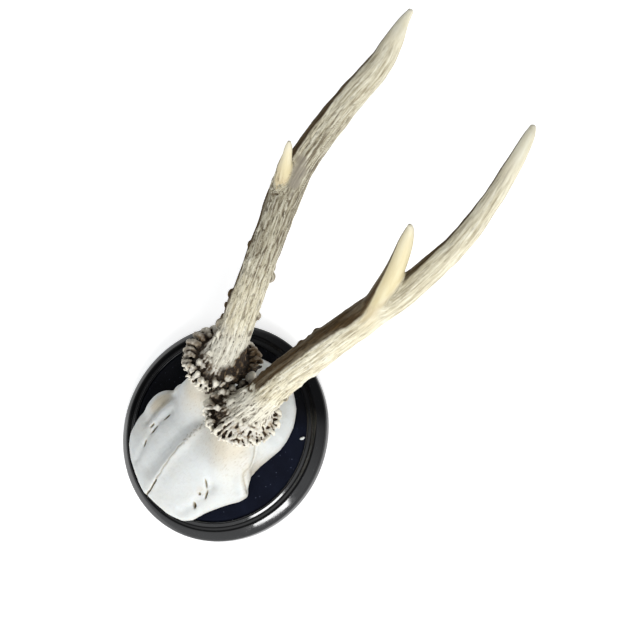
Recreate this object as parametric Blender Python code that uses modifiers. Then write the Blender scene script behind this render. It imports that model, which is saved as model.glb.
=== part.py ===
"""Roebuck trophy: two antlers on a bleached skull cap, fixed on a round turned plaque.

The part lies on the flat back of the plaque. Its origin is the centre of that back face, +Z points
out of the face of the plaque, +Y towards the antler tips and +X to the viewer's right.
Lengths in this file are millimetres, and MM turns them into metres.
"""

import math

import bmesh
import bpy
from mathutils import Matrix, Vector

MM = 0.001
GAP = 0.3  # clearance between pieces that touch

# Plaque
PLAQUE_RADIUS = 60.0
BACK_RADIUS = 57.2  # flat part of the back face
ROLL_RADIUS = 4.8  # half-round that runs round the edge
ROLL_TOP = 11.0
LIP_RADIUS = 51.0  # raised bead round the panel
LIP_TOP = 11.7
LIP_WIDTH = 1.3
COVE_MARGIN = 0.15  # flat left on each side of the hollow between bead and half-round
RECESS_RADIUS = 50.4
RECESS_FLOOR = 9.2
TURNED_SEGMENTS = 56

# Felt panel
FELT_RADIUS = 50.0
FELT_THICKNESS = 1.5
FELT_TOP = RECESS_FLOOR + GAP + FELT_THICKNESS

# Skull cap: the sawn underside lies on the bead and bridges the felt
SAWN_FACE = LIP_TOP + GAP
MIDLINE = 1.5  # x of the suture between the frontal bones
BONE_EDGE = 1.6  # thickness of the bone at its outline
SKULL_STATIONS = 24
SKULL_COLUMNS = 17
# y, left edge x, right edge x of the outline, and height of the bone at the midline
SKULL_SECTIONS = (
    (-53.5, -6.0, 9.0, 15.0),
    (-50.0, -17.0, 20.0, 18.2),
    (-46.0, -25.0, 27.0, 20.5),
    (-40.0, -31.5, 31.5, 23.0),
    (-32.0, -35.0, 34.0, 25.8),
    (-24.0, -37.0, 36.3, 28.5),
    (-15.0, -37.5, 40.0, 31.0),
    (-8.0, -34.5, 41.0, 32.5),
    (-2.0, -30.8, 34.8, 33.0),
    (6.0, -30.0, 32.6, 32.5),
    (16.0, -30.0, 33.3, 28.5),
    (27.0, -27.5, 31.2, 22.6),
    (36.0, -22.5, 26.3, 18.8),
    (43.0, -13.5, 17.5, 16.0),
    (47.0, -4.0, 8.0, 14.2),
)
SKULL_FRONT, SKULL_BACK = SKULL_SECTIONS[0][0], SKULL_SECTIONS[-1][0]
FOREHEAD_END, BRAINCASE_START = -8.0, 16.0  # between these the roof shape turns into a dome
CAVITY_CENTRE = (MIDLINE, 16.0, SAWN_FACE)
CAVITY_SIZE = (12.2, 12.6, 8.0)  # semi-axes of the hollow of the braincase

# Antlers: burr centre, burr axis, and the beam as x, y, z, radius from burr to tip
BURR_RADIUS = 19.8
BURR_FOOT = 2.5  # from the burr's centre down its axis to its underside
BURR_HALF_GAP = 0.4  # half of the gap where the two burrs press on each other
CONTACT_POINT = (-1.2, 26.0, 45.0)  # of the plane in which they do
CONTACT_NORMAL = (1.0, -0.07, 0.0)
PEDICLE_ROOT_RADIUS = 12.0
PEDICLE_TOP_RADIUS = 9.8
PEDICLE_SPARE = 6.0  # length that the cut along the burr takes off again
LEFT = {
    "burr": (-13.0, 29.4, 47.1),
    "axis": (0.10, 0.50, 0.86),
    "pedicle_root": (-16.5, 5.0, 22.0),
    "beam": (
        (-13.4, 33.0, 49.3, 10.0),
        (-15.5, 42.0, 55.2, 9.2),
        (-18.7, 53.5, 62.8, 8.8),
        (-23.2, 74.0, 78.0, 8.1),
        (-29.0, 94.0, 91.3, 7.9),
        (-33.0, 108.0, 99.8, 8.0),
        (-34.6, 121.0, 107.0, 7.5),
        (-34.8, 136.0, 114.8, 6.9),
        (-34.0, 155.0, 123.8, 6.2),
        (-33.0, 173.0, 131.0, 5.6),
        (-34.8, 185.0, 135.3, 4.2),
        (-36.8, 192.5, 138.0, 2.5),
        (-37.8, 198.4, 140.0, 0.7),
    ),
    "tine": (
        (-33.4, 106.0, 100.0, 6.6),
        (-34.3, 109.8, 105.0, 5.0),
        (-35.0, 114.2, 112.0, 3.3),
        (-35.1, 119.5, 120.0, 2.4),
        (-35.3, 122.4, 124.5, 1.6),
        (-35.7, 124.1, 127.0, 0.6),
    ),
}
RIGHT = {
    "burr": (12.2, 21.3, 39.3),
    "axis": (0.0, 0.54, 0.84),
    "pedicle_root": (18.0, -1.0, 21.0),
    "beam": (
        (14.2, 25.0, 41.6, 10.2),
        (17.0, 34.5, 47.8, 9.4),
        (21.3, 51.0, 61.0, 8.7),
        (28.1, 71.6, 76.4, 8.3),
        (35.2, 94.0, 91.1, 7.8),
        (39.6, 106.5, 98.8, 7.9),
        (44.3, 117.5, 105.0, 7.0),
        (47.0, 129.5, 111.6, 6.1),
        (49.0, 148.0, 120.5, 4.9),
        (47.4, 166.0, 128.1, 4.1),
        (44.0, 182.5, 134.4, 3.4),
        (41.0, 193.0, 138.4, 2.4),
        (39.1, 198.0, 140.2, 0.8),
    ),
    "tine": (
        (39.2, 105.0, 99.5, 6.4),
        (38.6, 114.0, 108.4, 4.3),
        (38.1, 121.0, 115.5, 3.4),
        (37.2, 126.9, 121.6, 2.9),
        (36.2, 131.8, 127.2, 2.4),
        (35.3, 135.6, 131.8, 1.6),
        (34.7, 137.1, 134.0, 0.6),
    ),
}
BEAM_SIDES_RESOLUTION = 4
BEAM_STEPS = 3  # curve segments between two control points

# Screws that hold the bone, driven from the back
SKULL_SCREW_X = 13.0
SKULL_SCREW_Y = -24.0
SKULL_SCREW_TIP = 20.0
SKULL_SCREW_SHANK = 1.9
SKULL_SCREW_HEAD = 3.9
SKULL_SCREW_RIM = 1.0  # height of the widest edge of the head above the back face
SKULL_SCREW_POINT = 4.5  # length of the tapered point
SCREW_SLOT_WIDTH, SCREW_SLOT_DEPTH = 1.0, 1.1

# Sawtooth hanger in its pocket
HANGER_Y = 42.0
HANGER_LENGTH, HANGER_WIDTH, HANGER_THICKNESS = 44.0, 8.0, 1.0
HANGER_TEETH = 9
TOOTH_DEPTH = 1.2
POCKET_MARGIN = 1.2
POCKET_DEPTH = 2.4
RELIEF_LENGTH, RELIEF_DEPTH = 31.0, 3.7  # deeper part of the pocket, where the nail goes
NAIL_ROOM = 2.5  # how far that part reaches below the pocket
TOOTHED_SHARE = 0.86  # of the relief's length
HANGER_SCREW_X = 18.8
HANGER_SCREW_SHANK = 1.0
HANGER_SCREW_HEAD = 2.2
HANGER_SCREW_TIP = 7.0
CUT_THROUGH = 1.0  # how far a cutter starts outside the back face


# ---------------------------------------------------------------- helpers
def collection(name, hidden=False):
    group = bpy.data.collections.new(name)
    bpy.context.scene.collection.children.link(group)
    group.hide_render = hidden
    return group


def material(name, colour, roughness, metallic=0.0):
    found = bpy.data.materials.new(name)
    found.use_nodes = True
    shader = found.node_tree.nodes["Principled BSDF"]
    shader.inputs["Base Color"].default_value = (*colour, 1.0)
    shader.inputs["Roughness"].default_value = roughness
    shader.inputs["Metallic"].default_value = metallic
    return found


def add_object(name, data, group, finish=None):
    obj = bpy.data.objects.new(name, data)
    group.objects.link(obj)
    if finish:
        data.materials.append(finish)
    return obj


def mesh_from(builder):
    """A mesh made by a function that fills a bmesh."""
    bm = bmesh.new()
    builder(bm)
    bmesh.ops.recalc_face_normals(bm, faces=bm.faces)
    mesh = bpy.data.meshes.new("mesh")
    bm.to_mesh(mesh)
    bm.free()
    return mesh


def shade(obj, angle=40.0):
    obj.data.shade_smooth()
    obj.data.set_sharp_from_angle(angle=math.radians(angle))


def turned(name, profile, group, finish=None, segments=TURNED_SEGMENTS):
    """A turned piece: (radius, height) points run down the outer side, top to bottom."""
    mesh = bpy.data.meshes.new(name)
    points = [(r * MM, 0.0, z * MM) for r, z in profile]
    mesh.from_pydata(points, [(i, i + 1) for i in range(len(points) - 1)], [])
    obj = add_object(name, mesh, group, finish)
    screw = obj.modifiers.new("turn", "SCREW")
    screw.steps = screw.render_steps = segments
    screw.use_merge_vertices = True
    screw.merge_threshold = 0.00002
    screw.use_smooth_shade = True
    return obj


def tube(name, route, group, extra_radius=0.0):
    """A round, tapering tube through x, y, z, radius points."""
    data = bpy.data.curves.new(name, "CURVE")
    data.dimensions = "3D"
    data.bevel_depth = MM
    data.bevel_resolution = BEAM_SIDES_RESOLUTION
    data.use_fill_caps = True
    data.resolution_u = data.render_resolution_u = BEAM_STEPS
    spline = data.splines.new("BEZIER")
    spline.bezier_points.add(len(route) - 1)
    for point, (x, y, z, radius) in zip(spline.bezier_points, route):
        point.co = (x * MM, y * MM, z * MM)
        point.handle_left_type = point.handle_right_type = "AUTO"
        point.radius = radius + extra_radius
    return add_object(name, data, group)


def as_mesh(curve, finish=None):
    """The curve's evaluated shape as a mesh object with welded caps, in place of the curve."""
    bpy.context.view_layer.update()
    evaluated = curve.evaluated_get(bpy.context.evaluated_depsgraph_get())
    mesh = bpy.data.meshes.new_from_object(evaluated)
    bm = bmesh.new()
    bm.from_mesh(mesh)
    bmesh.ops.remove_doubles(bm, verts=bm.verts, dist=0.00001)
    bm.to_mesh(mesh)
    bm.free()
    name, group, matrix = curve.name, curve.users_collection[0], curve.matrix_world.copy()
    bpy.data.objects.remove(curve)
    obj = add_object(name, mesh, group, finish)
    obj.matrix_world = matrix
    return obj


def boolean(obj, other, operation):
    modifier = obj.modifiers.new(operation.lower(), "BOOLEAN")
    modifier.operation = operation
    modifier.solver = "EXACT"
    modifier.object = other


def as_cutter(obj):
    obj.hide_render = True
    obj.display_type = "WIRE"
    return obj


def box(name, low, high, group):
    centre = [(a + b) / 2 * MM for a, b in zip(low, high)]
    size = [(b - a) * MM for a, b in zip(low, high)]
    mesh = mesh_from(lambda bm: bmesh.ops.create_cube(bm, size=1.0))
    obj = add_object(name, mesh, group)
    mesh.transform(Matrix.Translation(centre) @ Matrix.Diagonal((*size, 1.0)))
    return obj


def rod(name, centre, radius, low, high, group, segments=24):
    """An upright cylinder at x, y from one height to another."""
    mesh = mesh_from(
        lambda bm: bmesh.ops.create_cone(
            bm,
            cap_ends=True,
            segments=segments,
            radius1=radius * MM,
            radius2=radius * MM,
            depth=(high - low) * MM,
        )
    )
    obj = add_object(name, mesh, group)
    obj.location = (centre[0] * MM, centre[1] * MM, (low + high) / 2 * MM)
    return obj


def along(axis, at):
    """The placement that turns +Z into an axis, at a point."""
    turn = Vector((0.0, 0.0, 1.0)).rotation_difference(Vector(axis))
    return Matrix.Translation(Vector(at) * MM) @ turn.to_matrix().to_4x4()


def arc(centre, radius, start, end, count):
    """Points on a circular arc in the profile plane, with both ends."""
    for i in range(count + 1):
        angle = math.radians(start + (end - start) * i / count)
        yield centre[0] + radius * math.cos(angle), centre[1] + radius * math.sin(angle)


# ---------------------------------------------------------------- plaque and felt
def plaque_profile():
    bead = LIP_WIDTH / 2
    roll_centre = (PLAQUE_RADIUS - ROLL_RADIUS, ROLL_TOP - ROLL_RADIUS)
    cove_left, cove_right = LIP_RADIUS + bead, roll_centre[0]
    cove_centre = ((cove_left + cove_right) / 2, ROLL_TOP)
    cove_radius = (cove_right - cove_left) / 2 - COVE_MARGIN
    foot = PLAQUE_RADIUS - BACK_RADIUS
    return [
        (0.0, RECESS_FLOOR),
        (RECESS_RADIUS, RECESS_FLOOR),
        *arc((LIP_RADIUS, LIP_TOP - bead), bead, 180, 20, 3),
        *arc(cove_centre, cove_radius, 205, 335, 4),
        *arc(roll_centre, ROLL_RADIUS, 90, 0, 6),
        *arc((PLAQUE_RADIUS - foot, foot), foot, 0, -90, 3),
        (0.0, 0.0),
    ]


def build_plaque(group, cutters, finish):
    plaque = turned("plaque", plaque_profile(), group, finish)
    for cutter in [*screw_holes(cutters), *hanger_pocket(cutters)]:
        boolean(plaque, cutter, "DIFFERENCE")
    return plaque


def screw_places():
    return (
        ("left", (MIDLINE - SKULL_SCREW_X, SKULL_SCREW_Y)),
        ("right", (MIDLINE + SKULL_SCREW_X, SKULL_SCREW_Y)),
    )


def screw_holes(cutters):
    """One stepped cutter a screw: countersink, clearance hole and pilot hole in the bone."""
    sink = SKULL_SCREW_HEAD + GAP
    hole = SKULL_SCREW_SHANK + GAP
    cone_foot = SKULL_SCREW_RIM + GAP * 0.4
    profile = [
        (0.0, SKULL_SCREW_TIP + GAP),
        (hole, SKULL_SCREW_TIP + GAP),
        (hole, cone_foot + sink - hole),
        (sink, cone_foot),
        (sink, -CUT_THROUGH),
        (0.0, -CUT_THROUGH),
    ]
    found = []
    for side, (x, y) in screw_places():
        cutter = turned(f"screw_hole_{side}", profile, cutters, segments=24)
        cutter.location = (x * MM, y * MM, 0.0)
        found.append(as_cutter(cutter))
    return found


def hanger_pocket(cutters):
    half = HANGER_LENGTH / 2 + POCKET_MARGIN
    low = HANGER_Y - HANGER_WIDTH / 2 - POCKET_MARGIN
    high = HANGER_Y + HANGER_WIDTH / 2 + POCKET_MARGIN
    pocket = box("hanger_pocket", (-half, low, -CUT_THROUGH), (half, high, POCKET_DEPTH), cutters)
    relief = box(
        "tooth_relief",
        (-RELIEF_LENGTH / 2, low - NAIL_ROOM, -1.5 * CUT_THROUGH),
        (RELIEF_LENGTH / 2, HANGER_Y + 1.0, RELIEF_DEPTH),
        cutters,
    )
    holes = [
        rod(f"hanger_hole_{i}", (x, HANGER_Y), HANGER_SCREW_SHANK + GAP, -2.0 * CUT_THROUGH,
            HANGER_SCREW_TIP + GAP, cutters)
        for i, x in enumerate((-HANGER_SCREW_X, HANGER_SCREW_X))
    ]
    return [as_cutter(cutter) for cutter in (pocket, relief, *holes)]


def build_felt(group, cutters, finish):
    felt = rod("felt_panel", (0.0, 0.0), FELT_RADIUS, FELT_TOP - FELT_THICKNESS, FELT_TOP,
               group, segments=TURNED_SEGMENTS)
    felt.data.materials.append(finish)
    for side, _ in screw_places():
        boolean(felt, cutters.objects[f"screw_hole_{side}"], "DIFFERENCE")
    return felt


# ---------------------------------------------------------------- skull cap
def between(rows, y):
    """Row values at y, read along straight lines between the rows."""
    for before, after in zip(rows, rows[1:]):
        if y <= after[0]:
            share = (y - before[0]) / (after[0] - before[0])
            return [a + (b - a) * share for a, b in zip(before[1:], after[1:])]
    return list(rows[-1][1:])


def bone_height(x, y, left, right, ridge):
    """Height of the bone: a roof-shaped forehead in front that turns into a round braincase."""
    half = (right - MIDLINE) if x > MIDLINE else (MIDLINE - left)
    t = min(abs(x - MIDLINE) / half, 1.0)
    dome = math.sqrt(max(1.0 - t**3.2, 0.0))
    brow = 0.16 * math.exp(-(((t - 0.82) / 0.12) ** 2))
    roof = (1.0 - t) ** 0.75 * 0.72 + dome * 0.28 + brow
    back = min(max((y - FOREHEAD_END) / (BRAINCASE_START - FOREHEAD_END), 0.0), 1.0)
    back = back * back * (3.0 - 2.0 * back)
    return SAWN_FACE + (ridge - SAWN_FACE) * (roof * (1.0 - back) + dome * back)


def skull_loft(bm):
    """Cross sections from front to back, joined into a closed shell with a flat underside."""
    rings = []
    for i in range(SKULL_STATIONS):
        phase = 0.5 - 0.5 * math.cos(math.pi * i / (SKULL_STATIONS - 1))
        y = SKULL_FRONT + (SKULL_BACK - SKULL_FRONT) * (0.6 * i / (SKULL_STATIONS - 1) + 0.4 * phase)
        left, right, ridge = between(SKULL_SECTIONS, y)
        ring = [(left, y, SAWN_FACE), (right, y, SAWN_FACE)]
        for j in range(SKULL_COLUMNS):
            u = 0.5 - 0.5 * math.cos(math.pi * j / (SKULL_COLUMNS - 1))
            x = right + (left - right) * (0.5 * u + 0.5 * j / (SKULL_COLUMNS - 1))
            z = max(bone_height(x, y, left, right, ridge), SAWN_FACE + BONE_EDGE)
            ring.append((x, y, z))
        rings.append([bm.verts.new(Vector(p) * MM) for p in ring])
    for first, second in zip(rings, rings[1:]):
        for j in range(len(first)):
            k = (j + 1) % len(first)
            bm.faces.new((first[j], first[k], second[k], second[j]))
    bm.faces.new(rings[0])
    bm.faces.new(reversed(rings[-1]))


def build_skull(group, cutters, finish):
    skull = add_object("skull_cap", mesh_from(skull_loft), group, finish)
    for side, antler in (("left", LEFT), ("right", RIGHT)):
        boolean(skull, pedicle(side, antler, cutters), "UNION")
    cavity = add_object("brain_cavity", mesh_from(
        lambda bm: bmesh.ops.create_uvsphere(bm, u_segments=24, v_segments=14, radius=1.0)
    ), cutters)
    cavity.data.transform(
        Matrix.Translation(Vector(CAVITY_CENTRE) * MM)
        @ Matrix.Diagonal((*(size * MM for size in CAVITY_SIZE), 1.0))
    )
    boolean(skull, as_cutter(cavity), "DIFFERENCE")
    for screw_side, _ in screw_places():
        boolean(skull, cutters.objects[f"screw_hole_{screw_side}"], "DIFFERENCE")
    shade(skull)
    return skull


def burr_underside(antler):
    """Point and unit axis of the face where the antler sits on its pedicle."""
    axis = Vector(antler["axis"]).normalized()
    return Vector(antler["burr"]) - axis * BURR_FOOT, axis


def pedicle(side, antler, cutters):
    """Bone stump from the forehead to just below the burr, cut parallel to the burr."""
    face, axis = burr_underside(antler)
    top, root = face - axis * GAP, Vector(antler["pedicle_root"])
    length = (top - root).length + PEDICLE_SPARE
    direction = (top - root).normalized()

    def stump(bm):
        bmesh.ops.create_cone(
            bm, cap_ends=True, segments=28, radius1=PEDICLE_ROOT_RADIUS * MM,
            radius2=PEDICLE_TOP_RADIUS * MM, depth=length * MM,
        )
        bm.transform(along(direction, root + direction * length / 2))
        cut = bmesh.ops.bisect_plane(
            bm, geom=[*bm.verts, *bm.edges, *bm.faces], plane_co=top * MM, plane_no=axis,
            clear_outer=True,
        )["geom_cut"]
        rim = [item for item in cut if isinstance(item, bmesh.types.BMEdge)]
        bmesh.ops.holes_fill(bm, edges=rim)

    return as_cutter(add_object(f"pedicle_{side}", mesh_from(stump), cutters))


# ---------------------------------------------------------------- antlers
def burr_profile():
    """Ruffled ring at the foot of the antler, here plain, flaring into the beam."""
    rim = BURR_RADIUS
    return [
        (0.0, 11.0),
        (6.2, 11.0),
        (8.8, 8.2),
        (11.0, 6.8),
        (14.0, 6.1),
        (17.5, 5.6),
        *arc((rim - 2.4, 3.0), 2.4, 70, -60, 4),
        (rim - 3.5, 0.0),
        (0.0, 0.0),
    ]


def mid_plane(cutters):
    """Two slabs, one on each side of the plane in which the burrs press on each other."""
    across = Vector(CONTACT_NORMAL).normalized()
    slabs = {}
    for side, sign in (("left", 1.0), ("right", -1.0)):
        slab = box(f"burr_slab_{side}", (-40, -40, BURR_HALF_GAP), (40, 40, 40), cutters)
        slab.data.transform(along(across * sign, Vector(CONTACT_POINT)))
        slabs[side] = as_cutter(slab)
    return slabs


def build_antler(side, antler, slab, group, cutters, finish):
    beam = as_mesh(tube(f"{side}_antler", antler["beam"], group), finish)
    burr = turned(f"burr_{side}", burr_profile(), cutters, segments=28)
    face, axis = burr_underside(antler)
    burr.matrix_world = along(axis, face)
    boolean(burr, slab, "DIFFERENCE")
    boolean(beam, as_cutter(burr), "UNION")
    shade(beam)
    return beam


def build_tine(side, antler, group, cutters, finish):
    """The front tine, cut to sit against the beam at the fork."""
    clearance = as_mesh(tube(f"beam_clearance_{side}", antler["beam"], cutters, GAP))
    tine = as_mesh(tube(f"{side}_front_tine", antler["tine"], group), finish)
    boolean(tine, as_cutter(clearance), "DIFFERENCE")
    shade(tine)
    return tine


# ---------------------------------------------------------------- screws and hanger
def build_skull_screw(side, place, group, cutters, finish):
    shank, head, rim = SKULL_SCREW_SHANK, SKULL_SCREW_HEAD, SKULL_SCREW_RIM
    face = rim - 0.3
    profile = [
        (0.0, SKULL_SCREW_TIP),
        (shank, SKULL_SCREW_TIP - SKULL_SCREW_POINT),
        (shank, rim + head - shank),
        (head, rim),
        (head, face),
        (0.0, face),
    ]
    screw = turned(f"skull_screw_{side}", profile, group, finish, segments=24)
    screw.location = (place[0] * MM, place[1] * MM, 0.0)
    half = SCREW_SLOT_WIDTH / 2
    slot = box(
        f"screw_slot_{side}",
        (-head - 1.0, -half, -CUT_THROUGH),
        (head + 1.0, half, face + SCREW_SLOT_DEPTH),
        cutters,
    )
    slot.location = screw.location
    boolean(screw, as_cutter(slot), "DIFFERENCE")
    return screw


def hanger_outline():
    """Plate with rounded ends and a toothed lower edge, as closed outline points."""
    half, width = HANGER_LENGTH / 2, HANGER_WIDTH / 2
    end = half - width
    pitch = RELIEF_LENGTH * TOOTHED_SHARE / HANGER_TEETH
    start = -pitch * HANGER_TEETH / 2
    lower = []
    for i in range(HANGER_TEETH):
        lower.append((start + i * pitch, -width))
        lower.append((start + (i + 0.5) * pitch, -width + TOOTH_DEPTH))
    lower.append((start + HANGER_TEETH * pitch, -width))
    return [*arc((-end, 0.0), width, 90, 270, 8), *lower, *arc((end, 0.0), width, -90, 90, 8)]


def build_hanger(group, finish):
    data = bpy.data.curves.new("hanger_plate", "CURVE")
    data.dimensions = "2D"
    data.fill_mode = "BOTH"
    data.extrude = HANGER_THICKNESS / 2 * MM
    hole_radius = HANGER_SCREW_SHANK + GAP
    holes = [
        list(arc((x, 0.0), hole_radius, 0, 337.5, 15)) for x in (-HANGER_SCREW_X, HANGER_SCREW_X)
    ]
    for outline in (hanger_outline(), *holes):
        spline = data.splines.new("POLY")
        spline.points.add(len(outline) - 1)
        for point, (x, y) in zip(spline.points, outline):
            point.co = (x * MM, y * MM, 0.0, 1.0)
        spline.use_cyclic_u = True
    plate = add_object("hanger_plate", data, group, finish)
    plate.location = (0.0, HANGER_Y * MM, (POCKET_DEPTH - GAP - HANGER_THICKNESS / 2) * MM)
    return plate


def build_hanger_screw(side, x, group, finish):
    plate_face = POCKET_DEPTH - GAP - HANGER_THICKNESS
    under_head = plate_face - GAP
    profile = [
        (0.0, HANGER_SCREW_TIP),
        (HANGER_SCREW_SHANK, HANGER_SCREW_TIP - 2.0),
        (HANGER_SCREW_SHANK, under_head),
        (HANGER_SCREW_HEAD, under_head),
        (HANGER_SCREW_HEAD * 0.85, under_head - 0.4),
        (HANGER_SCREW_HEAD * 0.4, under_head - 0.6),
        (0.0, under_head - 0.65),
    ]
    screw = turned(f"hanger_screw_{side}", profile, group, finish, segments=20)
    screw.location = (x * MM, HANGER_Y * MM, 0.0)
    return screw


def main():
    for obj in list(bpy.data.objects):
        bpy.data.objects.remove(obj)
    group = collection("roebuck_trophy")
    cutters = collection("cutters", hidden=True)
    black = material("black_gloss_wood", (0.006, 0.006, 0.007), 0.15)
    navy = material("navy_felt", (0.012, 0.014, 0.026), 0.95)
    bone = material("bleached_bone", (0.80, 0.77, 0.69), 0.55)
    antler_finish = material("antler", (0.50, 0.42, 0.30), 0.6)
    steel = material("zinc_steel", (0.62, 0.61, 0.58), 0.35, 1.0)

    build_plaque(group, cutters, black)
    build_felt(group, cutters, navy)
    build_skull(group, cutters, bone)
    slabs = mid_plane(cutters)
    for side, antler in (("left", LEFT), ("right", RIGHT)):
        build_antler(side, antler, slabs[side], group, cutters, antler_finish)
        build_tine(side, antler, group, cutters, antler_finish)
    for side, place in screw_places():
        build_skull_screw(side, place, group, cutters, steel)
    build_hanger(group, steel)
    for side, x in (("left", -HANGER_SCREW_X), ("right", HANGER_SCREW_X)):
        build_hanger_screw(side, x, group, steel)


main()
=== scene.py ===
"""Looks of the roebuck trophy: grown antlers, bleached skull cap, turned plaque and felt panel.

Lengths are millimetres in the row frame, and MM turns them into metres. +Z points out of the
face of the plaque, +Y towards the antler tips and, seen with +Y up, +X to the right.
"""

import math

import bmesh
import bpy
import numpy as np
from mathutils import Matrix, Vector, kdtree


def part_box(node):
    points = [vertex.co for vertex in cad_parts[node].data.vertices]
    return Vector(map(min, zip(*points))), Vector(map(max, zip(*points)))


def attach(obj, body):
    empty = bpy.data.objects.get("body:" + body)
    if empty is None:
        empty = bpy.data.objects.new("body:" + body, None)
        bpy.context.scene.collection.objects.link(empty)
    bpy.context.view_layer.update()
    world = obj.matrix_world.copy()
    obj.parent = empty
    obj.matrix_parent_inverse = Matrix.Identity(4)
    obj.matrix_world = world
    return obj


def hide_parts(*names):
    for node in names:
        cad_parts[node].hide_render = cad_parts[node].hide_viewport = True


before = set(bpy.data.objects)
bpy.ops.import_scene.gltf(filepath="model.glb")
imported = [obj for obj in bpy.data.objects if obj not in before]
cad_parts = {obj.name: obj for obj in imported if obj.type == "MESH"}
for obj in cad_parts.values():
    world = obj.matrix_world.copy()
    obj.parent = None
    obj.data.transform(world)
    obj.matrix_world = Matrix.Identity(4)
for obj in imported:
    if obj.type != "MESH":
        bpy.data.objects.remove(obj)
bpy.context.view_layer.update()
MM = 0.001

# ---------- driving dimensions
# Camera: place, and directions of the picture's right, up and of the way back to the viewer
CAMERA_PLACE = (179.2, 96.9, 465.8)
CAMERA_RIGHT = (0.5886, 0.7611, -0.2725)
CAMERA_UP = (-0.7115, 0.6478, 0.2724)
CAMERA_BACK = (0.3838, 0.0336, 0.9228)
FOCAL_LENGTH, SENSOR = 50.625, 36.0
# Light: one large window on the +X side, and a sky that is darker on the -X side
WINDOW_FROM = (0.81, -0.27, 0.53)
WINDOW_DISTANCE, WINDOW_SIZE, WINDOW_POWER = 1400.0, (680.0, 360.0), 12.1
SKY_LEFT, SKY_RIGHT = (-0.75, 0.68), (0.45, 0.86)  # direction's X, and strength there
# Less light from above and from the back: the direction's Z or Y where that starts and is full,
# and the share that is left
CEILING, DARK_BACK = (0.74, 0.90, 0.12), (0.30, 0.85, 0.42)
FLOOR_GLOW = 0.58
FLOOR_SIZE = 40000.0

SAWN_FACE = 12.0  # flat underside of the skull cap
MIDLINE = 1.5

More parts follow.
